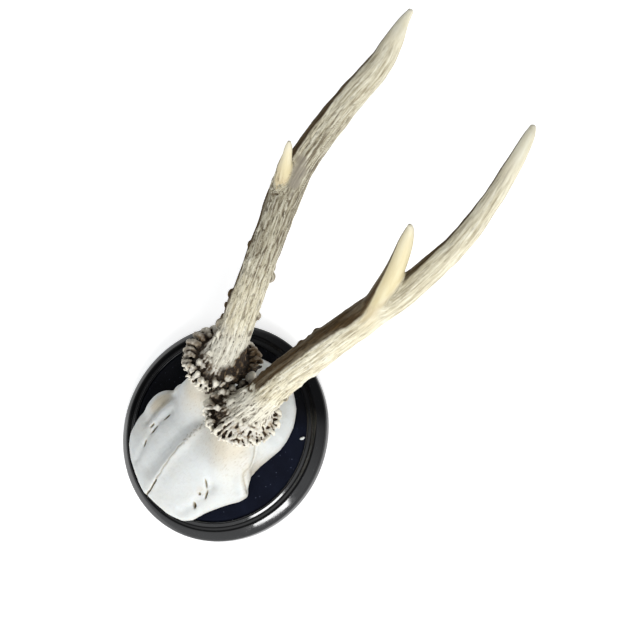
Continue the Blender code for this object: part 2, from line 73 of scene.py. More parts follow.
# Antlers. Lengths along a beam are in mm from its start, and angles on a burr in degrees.
#   burr, axis      middle and axis of the plane of the burr's rim
#   root            foot of the pedicle, in the skull
#   beam, tine      x, y, z and radius of their middle lines
#   lobes           knuckles on the burr: angle, inner and outer radius, height and girth
#   moat            angles between which a hollow parts the foot of the beam from the knuckles
#   foot            radius of the foot of the beam
#   bare            angles with broad knuckles and no upper pearls
#   white           clean pearls: x, y, z, radius, and how clean
#    browned         angles where even the ribs are painted dark brown as shade, how much, from
#                    which radius and up to which height
#   web             smooth grey-brown spots in the fork: x, y, z, radius
#    band            at lengths along the beam, how far the painted shade of the side turned from the
#                    window stays back; it lies over a brown stain
#   tine_band       the same at the tine's tip, and how much less it is for each mm away from it
#   tine_lean       how much further the tine's ivory reaches on its right side
#   tine_foot       middle of the place where the tine's foot is softened
#   polish          distances from the beam's tip where the ivory starts and is full
#   tine_polish     the same on the tine
#   knobs           single brown knobs: x, y, z, radius
#    cream           at lengths along the beam, how much paler a strip beside that painted shade is
#   tone, rough     at lengths along the beam, how pale and how rough it is
LEFT = {
    "burr": (-13, 29.4, 47.1),
    "axis": (0.1, 0.5, 0.86),
    "root": (-15, 5, 22),
    "beam": (
        (-13.4, 27.6, 43.6, 8.8), (-13, 29.8, 47.3, 8.8), (-12.9, 34.5, 50.4, 8.1),
        (-14.7, 42.1, 54.9, 8.1), (-18.3, 53.5, 62.6, 8.3), (-23.1, 74, 78, 7.8),
        (-28.55, 94.3, 91.1, 7.8), (-32.7, 108.2, 99.7, 8.1), (-34.6, 121, 107, 7.2),
        (-34.8, 136, 114.8, 6.8), (-33.9, 155, 123.7, 6.25), (-32.55, 173.1, 130.8, 5.6),
        (-34.6, 185.1, 135.2, 4.3), (-36.6, 192.7, 137.9, 2.6), (-37.3, 198.4, 139.8, 1.3),
    ),
    "tine": (
        (-30.6, 96, 91.5, 6.4), (-32.9, 105, 99.2, 6), (-34.5, 109.8, 105.2, 5.3),
        (-35.1, 114.2, 112, 3.8), (-35.1, 119.5, 120, 2.4), (-35.3, 122.4, 124.5, 1.75),
        (-35.7, 124.1, 127, 0.8),
    ),
    "lobes": (
        (189, 10.5, 14.6, 3, 1.6), (201, 11.4, 19.6, 2.3, 1.9), (187, 13.4, 19.4, 1.9, 1.8),
        (217, 11.2, 19.4, 2.3, 2), (231, 12, 19.5, 1.6, 1.5), (241, 13, 18.6, 1.8, 1.4),
        (251, 15.4, 19.5, 1, 1.2), (258, 10.6, 13, 2.2, 1.3), (262, 15, 18.2, 1.4, 1.2),
        (271, 14, 16.8, 2, 1.2), (283, 13.6, 17.6, 1.8, 1.3), (297, 13.8, 18.2, 2.3, 1.05),
        (306, 14, 18, 2, 1), (322, 12.4, 15.8, 2.2, 1.2), (339, 12.6, 16, 2.2, 1),
        (356, 10.2, 12.8, 2.4, 1.1), (173, 11.8, 18.8, 2.8, 1.8), (157, 12.2, 18.8, 2.8, 1.6),
        (104, 12.4, 18.6, 1.2, 1.2), (92, 12, 19.4, 1.3, 1.35), (80, 12.2, 20.3, 1.5, 1.4),
        (69, 12, 20.6, 1.3, 1.3), (58, 12.2, 20.4, 1.5, 1.4), (47, 12, 20, 1.2, 1.3),
        (36, 12.4, 19.2, 1.3, 1.2), (24, 12, 18.2, 1.2, 1.1),
    ),
    "moat": (184, 458),
    "foot": 7.9,
    "bare": ((150, 232), (18, 100)),
    "white": (
        (-7.2, 16.8, 56.6, 1.3, 1), (-2.9, 20.9, 53.8, 1.5, 1), (-2.4, 22.8, 49.6, 1.4, 1),
        (-2, 27.3, 49.4, 1.5, 0.9), (-11.7, 17, 57, 1.5, 0.9), (-16.6, 28.2, 57, 1.2, 0.8),
        (-16.7, 21, 55.4, 1.5, 0.9), (-16.5, 17, 57, 1.2, 0.8), (-13.9, 21.4, 54.6, 1, 0.7),
        (-20.2, 30.6, 55, 1.5, 0.8), (-18.8, 38.6, 61.8, 1.4, 0.7), (-16.8, 41.4, 64, 1.3, 0.7),
        (-19.6, 27.8, 53.8, 1.2, 0.7),
    ),
    "browned": ((-34, 100, 1.35, 5.6, 15), (188, 262, 0.8, 9, 12)),
    "web": (
        (-32.2, 123.4, 114.4, 4.2), (-29.7, 119.3, 112, 5.4), (-27.9, 114.8, 109.9, 4.8),
        (-25.1, 110.1, 107.3, 3.4),
    ),
    "band": (
        (0, 0.8), (26, 0.7), (38, 0.4), (60, 0.4), (95, 0.36), (108, 0.02), (125, 0.08),
        (145, 0.22), (175, 0.5),
    ),
    "tine_band": (0.62, 0),
    "tine_lean": 9,
    "tine_foot": (-31.9, 105.4, 107.4),
    "tine_polish": (27, 6),
    "polish": (25, 5),
    "knobs": (
        (-16.7, 77.7, 75.2, 1.9), (-18.4, 75.1, 74.6, 1.3), (-11.9, 59.6, 61.2, 1.7),
        (-14.9, 65.5, 66.4, 1.3), (-20.9, 89.6, 83.5, 0.9), (-26.4, 57.3, 71.5, 1.9),
        (-23.4, 42, 61, 2.1), (-24, 45.7, 63.2, 1.4), (-25.7, 51.1, 67.3, 1.3),
        (-18.2, 71.8, 72.5, 1), (-9.9, 50.8, 58.6, 1.7), (-3.4, 20.5, 44, 2.4),
        (-3.2, 24.5, 41.5, 2.5), (-3.2, 29, 38.8, 2.5), (-3.4, 33, 36.8, 2.3),
        (-2, 27.6, 47.4, 1.3), (-2.4, 31.6, 45.2, 1.1),
    ),
    "cream": ((104, 0), (114, 0.8), (150, 0.5), (175, 0)),
    "tone": (
        (0, 0.8), (32, 0.95), (52, 0.78), (75, 0.12), (100, 0.05), (125, 0.1), (150, 0.4),
        (190, 0.78),
    ),
    "rough": ((0, 1), (105, 1), (140, 0.75), (180, 0.35)),
    "seed": 11,
}
RIGHT = {
    "burr": (12.2, 21.3, 39.3),
    "axis": (0, 0.54, 0.84),
    "root": (18, -1, 21),
    "beam": (
        (12.2, 19.1, 35.9, 9.2), (12.4, 21.6, 39.5, 9.2), (14.4, 26.3, 42.7, 9.2),
        (17, 34.5, 47.8, 9.2), (21.3, 51, 61, 8.6), (28.3, 71.6, 76.3, 8.3), (35.75, 94, 90.8, 7.8),
        (39.9, 106.5, 98.7, 7.3), (44.2, 117.5, 105, 6.35), (47, 129.5, 111.6, 5.8),
        (49.3, 148.1, 120.4, 4.95), (47.85, 166.1, 127.9, 4.2), (44.4, 182.6, 134.2, 3.5),
        (41.4, 193.1, 138.3, 2.5), (39.6, 197.6, 140, 1.2),
    ),
    "tine": (
        (34.8, 88, 87.3, 5.4), (37.2, 96.2, 92.8, 6.9), (39.2, 105, 99.4, 6.5),
        (38.9, 114.1, 108.1, 5.2), (38.4, 121.2, 115.4, 4.3), (37.5, 127.1, 121.5, 3.75),
        (36.5, 132, 127.1, 3.1), (35.6, 135.7, 131.6, 1.9), (34.9, 137, 133.7, 0.9),
    ),
    "lobes": (
        (198, 11.6, 15.4, 4, 1.5), (177, 11, 14.2, 4.2, 1.4), (143, 8.8, 11.6, 4.8, 1.5),
        (131, 13.4, 16.8, 7.2, 1.6), (142, 12.4, 15, 6.2, 1.5), (158, 12.8, 15.4, 4.6, 1.7),
        (122, 15.8, 18.4, 4.4, 1.7), (116, 11.4, 15, 5.2, 1.3), (128, 17.4, 19.6, 2.4, 1.6),
        (105, 12.2, 14.6, 4.6, 1.4), (108, 16.4, 18.8, 2.8, 1.5), (212, 12.4, 19, 1.6, 2.2),
        (225, 13.5, 19.4, 0.8, 1.7), (239, 11, 19.8, 3, 1), (206, 6.6, 9.4, 4.8, 1.4),
        (198, 16, 18.6, 1.8, 1.6), (184, 15, 17.4, 2.4, 1.5), (262, 15.2, 19.6, 1, 1.2),
        (279, 14.2, 18.8, 1.6, 1.3), (54, 15.2, 19.4, 1.4, 1.2), (34, 16.4, 20.2, 1, 1.2),
        (19, 16.2, 20, 1, 1.1), (76, 15.4, 19, 1.6, 1.1),
    ),
    "moat": (156, 274),
    "foot": 8.6,
    "bare": ((120, 248),),
    "white": (
        (0.8, 23.9, 42.6, 1.9, 0.8), (10.8, 30.5, 53, 1.7, 1), (12.4, 35.2, 56.6, 1.3, 1),
        (9.2, 28.6, 51.4, 1.1, 0.8), (8, 20.9, 47.8, 2.1, 1), (5.5, 13.4, 48, 1.4, 0.9),
        (-0.9, 19.4, 45.4, 1.7, 0.6), (0.8, 35.4, 40, 2.5, 0.45), (14.6, 36.4, 58.6, 1.2, 0.9),
    ),
    "browned": ((100, 160, 1, 9, 12), (185, 225, 0.85, 9, 12)),
    "web": (),
    "band": (
        (0, 1.1), (15, 0.95), (25, 0.3), (36, 0.04), (75, 0), (95, -0.06), (118, 0), (135, 0.25),
        (160, 0.55),
    ),
    "tine_band": (0.6, 0.015),
    "tine_lean": 0,
    "tine_foot": (36, 108, 100),
    "tine_polish": (62, 42),
    "polish": (34, 6),
    "knobs": (
        (20.2, 69, 76.8, 1.7), (23.4, 78.5, 83.5, 1.6), (27.5, 88.5, 89.8, 1.1),
        (22, 73.9, 80.7, 1.1), (23.8, 45, 59.6, 1.5), (28.6, 44.8, 55.2, 1.3),
        (0.9, 20.2, 43.4, 2.2), (0.6, 23.6, 41, 1.7), (1.6, 26.6, 39.4, 1.2), (4.4, 28, 38.6, 1.5),
        (3.6, 32.3, 36.6, 1.8), (1.7, 34.8, 38.8, 2.3), (8.2, 34.1, 37.4, 1.5),
        (5.9, 31, 39.4, 1.1),
    ),
    "cream": ((0, 0), (30, 0)),
    "tone": ((0, 0.72), (30, 0.82), (80, 0.92), (130, 0.7), (200, 0.78)),
    "rough": ((0, 1), (45, 0.85), (80, 0.6), (130, 0.4), (170, 0.3)),
    "seed": 23,
}
BURR_FOOT = 3.0  # from the plane of the rim down to the burr's underside
BURR_RIM = 18.2  # radius of the solid disc that carries ribs and pearls
BURR_HALF_GAP = 0.12
CONTACT_POINT = (-1.2, 26.0, 45.0)  # of the plane in which the two burrs press on each other
CONTACT_NORMAL = (1.0, -0.07, 0.0)
FOOT_HEIGHT = 17.0  # over the rim, where the beam's foot starts to flare
RIBS, KNOTS = 52, 90  # on the foot of each beam, with the small knots between the ribs
BEAM_PEARLS = 170
STEM_STEP = 0.5  # between points on the middle lines of beam and tine
VOXEL = 0.455


# ---------- numbers
def smooth(low, high, value):
    """0 below low, 1 above high, with soft ends."""
    share = np.clip((value - low) / (high - low), 0.0, 1.0)
    return share * share * (3.0 - 2.0 * share)


def lattice(cell, seed):
    """A number from 0 to 1 for each integer point in space."""
    x, y, z = (cell[..., i].astype(np.int64).astype(np.uint32) for i in range(3))
    n = x * np.uint32(374761393) + y * np.uint32(668265263) + z * np.uint32(2246822519)
    n = n + np.uint32(seed * 3266489917 & 0xFFFFFFFF)
    n = (n ^ (n >> np.uint32(13))) * np.uint32(1274126177)
    n = (n ^ (n >> np.uint32(16))) * np.uint32(2654435761)
    return ((n >> np.uint32(8)) & np.uint32(0xFFFF)).astype(np.float64) / 65535.0


def noise(points, seed):
    """Smooth gradient noise, about -1 to 1, with cells one unit wide."""
    base = np.floor(points)
    offset = points - base
    fade = offset**3 * (offset * (offset * 6.0 - 15.0) + 10.0)
    total = np.zeros(len(points))
    for corner in np.ndindex(2, 2, 2):
        place = base + corner
        weight = np.prod(np.where(corner, fade, 1.0 - fade), axis=1)
        slope = sum((lattice(place, seed + 7 * i) * 2.0 - 1.0) * (offset[:, i] - corner[i])
                    for i in range(3))
        total += weight * slope
    return total * 1.6


def cells(points, seed):
    """Distance to the nearest of one scattered point per unit cell."""
    base = np.floor(points)
    best = np.full(len(points), 9.0)
    for step in np.ndindex(3, 3, 3):
        place = base + step - 1.0
        spot = place + np.stack([lattice(place, seed + i) for i in range(3)], axis=1)
        best = np.minimum(best, np.linalg.norm(points - spot, axis=1))
    return best


def highest(shares):
    """The highest of several shares at each point, and 0 without any."""
    return np.max([*shares], axis=0, initial=0.0)


def smooth_min(a, b, radius):
    """The lower of two distances, rounded where they meet."""
    share = np.clip(0.5 + 0.5 * (b - a) / radius, 0.0, 1.0)
    return b + (a - b) * share - radius * share * (1.0 - share)


def smooth_max(a, b, radius):
    return -smooth_min(-a, -b, radius)


def unit(vector):
    vector = np.asarray(vector, float)
    return vector / np.linalg.norm(vector)


def curve_through(points, step):
    """Points every step mm on a smooth curve through the given rows. Extra columns ride along."""
    rows = np.asarray(points, float)
    rows = np.vstack([2 * rows[0] - rows[1], rows, 2 * rows[-1] - rows[-2]])
    pieces = []
    for a, b, c, d in zip(rows, rows[1:], rows[2:], rows[3:]):
        count = max(int(np.linalg.norm((c - b)[:3]) / step), 2)
        t = (np.arange(count) / count)[:, None]
        pieces.append(0.5 * (2 * b + (c - a) * t + (2 * a - 5 * b + 4 * c - d) * t**2
                             + (3 * b - a - 3 * c + d) * t**3))
    return np.vstack([*pieces, rows[-2:-1]])


def lengths_along(line):
    """Length from the line's start to each of its points."""
    return np.concatenate([[0.0], np.cumsum(np.linalg.norm(np.diff(line[:, :3], axis=0), axis=1))])


def frames_along(line):
    """Unit tangent, side and front at each point, turned as little as possible."""
    tangents = np.gradient(line, axis=0)
    tangents /= np.linalg.norm(tangents, axis=1)[:, None]
    side = unit(np.cross(tangents[0], (0.0, 0.0, 1.0)))
    sides = []
    for tangent in tangents:
        side = unit(side - tangent * np.dot(side, tangent))
        sides.append(side)
    sides = np.array(sides)
    return tangents, sides, np.cross(tangents, sides)


# ---------- meshes
def add_mesh(name, points, faces):
    """A new mesh object from points in mm."""
    mesh = bpy.data.meshes.new(name)
    mesh.from_pydata(np.asarray(points) * MM, [], faces)
    mesh.update()
    obj = bpy.data.objects.new(name, mesh)
    bpy.context.scene.collection.objects.link(obj)
    return obj


def ring_faces(rings, segments, start=0, outward=True):
    """Quads between rings of points that follow each other."""
    faces = []
    for i in range(start, start + (rings - 1) * segments, segments):
        for j in range(segments):
            k = (j + 1) % segments
            a, b, c, d = i + j, i + segments + j, i + segments + k, i + k
            faces.append((a, b, c, d) if outward else (a, d, c, b))
    return faces


def capped(points, segments, outward=True):
    """Points and faces of the body between the first and the last of several rings of points."""
    caps = [range(segments), range(len(points) - 1, len(points) - 1 - segments, -1)]
    caps = [tuple(cap if outward else cap[::-1]) for cap in caps]
    return np.array(points), ring_faces(len(points) // segments, segments, outward=outward) + caps


def tube(line, radii, sides):
    """Points and faces of a closed round tube with pointed ends."""
    tangents, across, front = frames_along(line)
    angles = np.arange(sides) * 2 * math.pi / sides
    ring = across[:, None] * np.cos(angles)[:, None] + front[:, None] * np.sin(angles)[:, None]
    points = (line[:, None] + ring * np.asarray(radii)[:, None, None]).reshape(-1, 3)
    faces = ring_faces(len(line), sides, outward=False)
    first, last, top = len(points), len(points) + 1, len(points) - sides
    for j in range(sides):
        k = (j + 1) % sides
        faces += [(first, k, j), (last, top + j, top + k)]
    return np.vstack([points, line[0] - tangents[0] * radii[0] * 0.5,
                      line[-1] + tangents[-1] * radii[-1] * 0.5]), faces


def pearl(centre, half_sizes, axes):
    """Points and faces of a small ellipsoid."""
    bm = bmesh.new()
    bmesh.ops.create_icosphere(bm, subdivisions=2, radius=1.0)
    points = np.array([v.co for v in bm.verts]) * half_sizes @ np.asarray(axes) + centre
    faces = [tuple(v.index for v in f.verts) for f in bm.faces]
    bm.free()
    return points, faces


def join(shapes):
    """Several shapes' points and faces as one."""
    points, faces, start = [], [], 0
    for shape_points, shape_faces in shapes:
        points.append(shape_points)
        faces.extend(tuple(i + start for i in face) for face in shape_faces)
        start += len(shape_points)
    return np.vstack(points), faces


def settled(obj):
    """Leaves obj with the mesh that its modifiers make."""
    bpy.context.view_layer.update()
    mesh = bpy.data.meshes.new_from_object(obj.evaluated_get(bpy.context.evaluated_depsgraph_get()))
    obj.modifiers.clear()
    obj.data = mesh


def fused(name, shapes, voxel):
    """One skin round overlapping closed shapes."""
    obj = add_mesh(name, *join(shapes))
    remesh = obj.modifiers.new("fuse", "REMESH")
    remesh.mode = "VOXEL"
    remesh.voxel_size = voxel * MM
    settled(obj)
    obj.data.name = name
    return obj


def fetched(items, name, width, kind=float):
    """One property of all items, in rows."""
    found = np.empty(len(items) * width, kind)
    items.foreach_get(name, found)
    return found.reshape(-1, width)


class Skin:
    """A mesh's points as an array in mm, with what smoothing and displacement need."""

    def __init__(self, obj):
        self.obj = obj
        self.points = fetched(obj.data.vertices, "co", 3) / MM
        self.edges = fetched(obj.data.edges, "vertices", 2, np.int32)
        self.degree = np.bincount(self.edges.ravel(), minlength=len(self.points)).clip(1)

    def spread(self, values):
        """Mean of each point's neighbours."""
        a, b = self.edges[:, 0], self.edges[:, 1]
        count = len(self.points)
        if values.ndim == 1:
            total = np.bincount(a, values[b], count) + np.bincount(b, values[a], count)
            return total / self.degree
        return np.stack([self.spread(values[:, i]) for i in range(values.shape[1])], axis=1)

    def relax(self, rounds):
        """Smooths the points without shrinking, by a step in and a step out."""
        for _ in range(rounds):
            for amount in (0.5, -0.53):
                self.points += (self.spread(self.points) - self.points) * amount

    def soften(self, rounds, weight):
        for _ in range(rounds):
            self.points += (self.spread(self.points) - self.points) * 0.6 * weight[:, None]

    def store(self):
        self.obj.data.vertices.foreach_set("co", (self.points * MM).ravel())
        self.obj.data.update()

    def normals(self):
        self.store()
        return fetched(self.obj.data.vertices, "normal", 3)

    def raise_by(self, relief):
        """Moves each point out by its relief in mm."""
        self.points += self.normals() * relief[:, None]

    def noise(self, scale, seed):
        return noise(self.points * scale, seed)

    def gap(self, place):
        """Distance from each point to a place, or to a place of its own."""
        return np.linalg.norm(self.points - place, axis=1)

    def hollows(self, rounds):
        """How far each point lies under the surface smoothed over that many rounds, in mm."""
        normals, calm = self.normals(), self.points.copy()
        for _ in range(rounds):
            calm = calm + (self.spread(calm) - calm) * 0.7
        return np.sum((calm - self.points) * normals, axis=1)

    def attributes(self, **values):
        """Stores numbers at the points for the material to read."""
        for name, numbers in values.items():
            found = self.obj.data.attributes.new(name, "FLOAT", "POINT")
            numbers = np.zeros(len(self.points)) + numbers
            found.data.foreach_set("value", numbers.astype(np.float32))


def skin_of(field, low, step, name):
    """A mesh object round the part of a grid where the field is negative."""
    inside = field < 0.0
    size = np.array(field.shape) - 1
    count = np.zeros(size, np.int8)
    for corner in np.ndindex(2, 2, 2):
        count += inside[tuple(slice(c, c + n) for c, n in zip(corner, size))]
    crossed = (count > 0) & (count < 8)
    cell = np.argwhere(crossed)
    number = np.full(size, -1, np.int64)
    number[crossed] = np.arange(len(cell))
    total, hits = np.zeros((len(cell), 3)), np.zeros(len(cell))
    for axis, run in enumerate(np.eye(3, dtype=int)):
        for start in np.ndindex(2, 2, 2):
            if start[axis]:
                continue
            a, b = field[tuple((cell + start).T)], field[tuple((cell + start + run).T)]
            hit = (a < 0.0) != (b < 0.0)
            share = np.where(hit, a / np.where(hit, a - b, 1.0), 0.0)
            total += np.where(hit[:, None], start + share[:, None] * run, 0.0)
            hits += hit
    points = low + step * (cell + total / hits[:, None])
    faces = []
    for axis in range(3):
        one, other = [a for a in range(3) if a != axis]
        span = [slice(1, n) for n in size]
        span[axis] = slice(0, size[axis])
        ahead = list(span)
        ahead[axis] = slice(1, size[axis] + 1)
        here, there = inside[tuple(span)], inside[tuple(ahead)]
        at = np.argwhere(here != there)
        outwards = here[tuple(at.T)]
        at[:, one] += 1
        at[:, other] += 1
        ring = []
        for da, db in ((0, 0), (1, 0), (1, 1), (0, 1)):
            near = at.copy()
            near[:, one] -= da
            near[:, other] -= db
            ring.append(number[tuple(near.T)])
        ring = np.stack(ring, axis=1)
        turn = outwards if axis != 1 else ~outwards
        faces.append(np.where(turn[:, None], ring, ring[:, ::-1]))
    return add_mesh(name, points, np.vstack(faces).tolist())


def nearest_on(line, points):
    """Index of the nearest of line's points to each of the given points."""
    tree = kdtree.KDTree(len(line))
    for i, place in enumerate(line):
        tree.insert(place, i)
    tree.balance()
    return np.array([tree.find(p)[1] for p in points])


# ---------- materials
class Nodes:
    """Short forms for building the node tree of a material or a world."""

    def __init__(self, owner):
        owner.use_nodes = True
        self.owner, self.tree = owner, owner.node_tree
        self.shader = self.tree.nodes.get("Principled BSDF")

    def node(self, kind, inputs=None, **settings):
        made = self.tree.nodes.new("ShaderNode" + kind)
        for key, value in settings.items():
            setattr(made, key, value)
        for key, value in (inputs or {}).items():
            self.put(made.inputs[key], value)
        return made

    def put(self, socket, value):
        if isinstance(value, bpy.types.NodeSocket):
            self.tree.links.new(value, socket)
        else:
            socket.default_value = value

    def position(self):
        """Where the point is, in mm."""
        place = self.node("NewGeometry").outputs["Position"]
        scaled = self.node("VectorMath", {0: place, "Scale": 1.0 / MM}, operation="SCALE")
        return scaled.outputs["Vector"]

    def vector(self, operation, a, b=(0.0, 0.0, 0.0)):
        made = self.node("VectorMath", {0: a, 1: b}, operation=operation)
        return made.outputs["Value" if operation in ("LENGTH", "DOT_PRODUCT") else "Vector"]

    def math(self, operation, a, b, clamp=False):
        return self.node("Math", {0: a, 1: b}, operation=operation, use_clamp=clamp).outputs[0]

    def times(self, a, b, clamp=False):
        return self.math("MULTIPLY", a, b, clamp)

    def plus(self, a, b, clamp=False):
        return self.math("ADD", a, b, clamp)

    def read(self, name):
        return self.node("Attribute", attribute_name=name).outputs["Fac"]

    def noise(self, at, scale, detail=2.0, rough=0.5):
        return self.node("TexNoise", {"Vector": at, "Scale": scale, "Detail": detail,
                                      "Roughness": rough}).outputs["Fac"]

    def spots(self, at, scale):
        return self.node("TexVoronoi", {"Vector": at, "Scale": scale}).outputs["Distance"]

    def ramp(self, value, *stops):
        """A colour for each value, between (position, colour) stops."""
        made = self.node("ValToRGB", {"Fac": value})
        elements = made.color_ramp.elements
        while len(elements) < len(stops):
            elements.new(0.5)
        for element, (position, colour) in zip(elements, stops):
            element.position, element.color = position, (*colour, 1.0)
        return made.outputs["Color"]

    def span(self, value, low, high, out_low=0.0, out_high=1.0, kind="SMOOTHSTEP"):
        """Takes the range from low to high to the range from out_low to out_high."""
        inputs = {"Value": value, "From Min": low, "From Max": high,
                  "To Min": out_low, "To Max": out_high}
        return self.node("MapRange", inputs, interpolation_type=kind).outputs["Result"]

    def mix(self, colour, *layers):
        """Lays (share, colour) pairs over a colour, one after the other."""
        for share, other in layers:
            pair = [(*c, 1.0) if isinstance(c, tuple) and len(c) == 3 else c
                    for c in (colour, other)]
            colour = self.node("Mix", data_type="RGBA")
            for socket, value in zip((0, 6, 7), (share, *pair)):
                self.put(colour.inputs[socket], value)
            colour = colour.outputs[2]
        return colour

    def bump(self, height, distance, strength=1.0):
        """Height in mm becomes relief that the light sees."""
        made = self.node("Bump", {"Height": height, "Strength": strength,
                                  "Distance": distance * MM})
        self.put(self.shader.inputs["Normal"], made.outputs["Normal"])

    def set(self, **values):
        for key, value in values.items():
            self.put(self.shader.inputs[key.replace("_", " ")], value)
        return self.owner


def material(name):
    return Nodes(bpy.data.materials.new(name))


def back_left(n, place):
    """1 on the back and left of the plaque, where the lacquer's gloss is duller and the felt gets
    painted shade, and 0 on the rest.
    """
    return n.span(n.vector("DOT_PRODUCT", place, (0.75, -0.65, 0.0)), 4.0, -14.0)


def lacquer():
    """Black gloss over turned wood, a little brown and dusty in the hollow beside the bead."""
    n = material("black_lacquer")
    place = n.position()
    radius = n.vector("LENGTH", n.vector("MULTIPLY", place, (1.0, 1.0, 0.0)))
    cove = n.times(n.span(radius, 51.6, 52.6), n.span(radius, 56.2, 54.8), clamp=True)
    specks = n.span(n.spots(place, 0.55), 0.10, 0.04)
    colour = n.mix((0.0018, 0.0020, 0.0027),
                   (n.times(cove, n.span(n.noise(place, 0.09, 3.0), 0.35, 0.7)),
                    (0.0040, 0.0038, 0.0037)),
                   (n.times(specks, 0.35), (0.16, 0.16, 0.17)))
    streaks = n.noise(n.vector("MULTIPLY", place, (0.25, 2.2, 0.25)), 1.0, 4.0)
    n.bump(n.times(streaks, 0.0025), 1.0, 0.35)
    rough = n.span(n.noise(place, 0.22, 4.0), 0.3, 0.75, 0.09, 0.17)
    gloss = n.times(n.span(radius, 58.9, 59.8, 0.80, 0.35),
                    n.span(back_left(n, place), 0.0, 1.0, 1.0, 0.24))
    return n.set(Base_Color=colour, Roughness=n.plus(rough, n.times(specks, 0.4)),
                 Specular_IOR_Level=gloss)


def felt():
    """Dark navy felt: matted fibres, paler where the nap is rubbed, small pale lint, and painted
    shade at the back and left.
    """
    n = material("navy_felt")
    place = n.position()
    fibres = n.noise(place, 3.2, 5.0, 0.7)
    back_left_shade = back_left(n, place)
    lint = n.span(n.spots(place, 0.42), 0.16, 0.07)
    colour = n.mix(n.ramp(n.plus(n.times(fibres, 0.6), n.times(n.noise(place, 0.11, 3.0), 0.4)),
                          (0.25, (0.0020, 0.0028, 0.0072)), (0.55, (0.0056, 0.0078, 0.0190)),
                          (0.80, (0.0145, 0.0200, 0.0420))),
                   # painted shade on the back and left of the felt, with its lint fainter there
                   (back_left_shade, (0.0009, 0.0010, 0.0014)),
                   (n.times(lint, n.span(back_left_shade, 0.0, 1.0, 0.65, 0.2)), (0.13, 0.15, 0.22)))
    n.bump(fibres, 0.5, 0.8)
    return n.set(Base_Color=colour, Roughness=0.95, Sheen_Weight=0.08, Sheen_Roughness=0.5,
                 Sheen_Tint=(0.35, 0.42, 0.75, 1.0), Specular_IOR_Level=0.15)


def bone():
    """Bleached bone: white to cream, stained brown in cracks and holes, fine pores, and painted
    shade.
    """
    n = material("bleached_bone")
    place = n.position()
    warm = n.plus(n.read("warm"), n.span(n.noise(place, 0.05, 4.0), 0.45, 0.75, 0.0, 0.25),
                  clamp=True)
    veins = n.noise(n.vector("MULTIPLY", place, (1.6, 0.35, 0.8)), 1.0, 5.0, 0.65)
    stain = n.read("stain")
    pores = n.span(n.spots(place, 1.1), 0.20, 0.08)
    colour = n.mix((0.735, 0.76, 0.75),
                   (warm, (0.66, 0.61, 0.50)),
                   (n.times(n.span(veins, 0.50, 0.72), n.span(warm, 0.0, 0.8, 0.15, 0.8)),
                    (0.50, 0.44, 0.34)),
                   # painted shade in hollows
                   (n.span(n.read("hollow"), 0.0, 0.6, 0.0, 0.5), (0.55, 0.50, 0.40)),
                   # stains in the seams, crack and holes, and painted shade along the right crease
                   # and on the left orbital lobe
                   (n.span(stain, 0.0, 0.6), (0.34, 0.29, 0.19)),
                   (n.span(stain, 0.50, 0.9), (0.060, 0.052, 0.032)),
                   (n.times(pores, 0.18), (0.35, 0.26, 0.16)))
    grain = n.times(n.noise(place, 1.3, 6.0, 0.6), 0.12)
    n.bump(n.math("SUBTRACT", grain, n.times(pores, 0.10)), 1.0, 0.6)
    rough = n.span(n.noise(place, 0.4, 3.0), 0.3, 0.7, 0.42, 0.60)
    return n.set(Base_Color=colour, Roughness=rough, Subsurface_Weight=0.12,
                 Subsurface_Radius=(1.0, 0.7, 0.45), Subsurface_Scale=1.2 * MM)


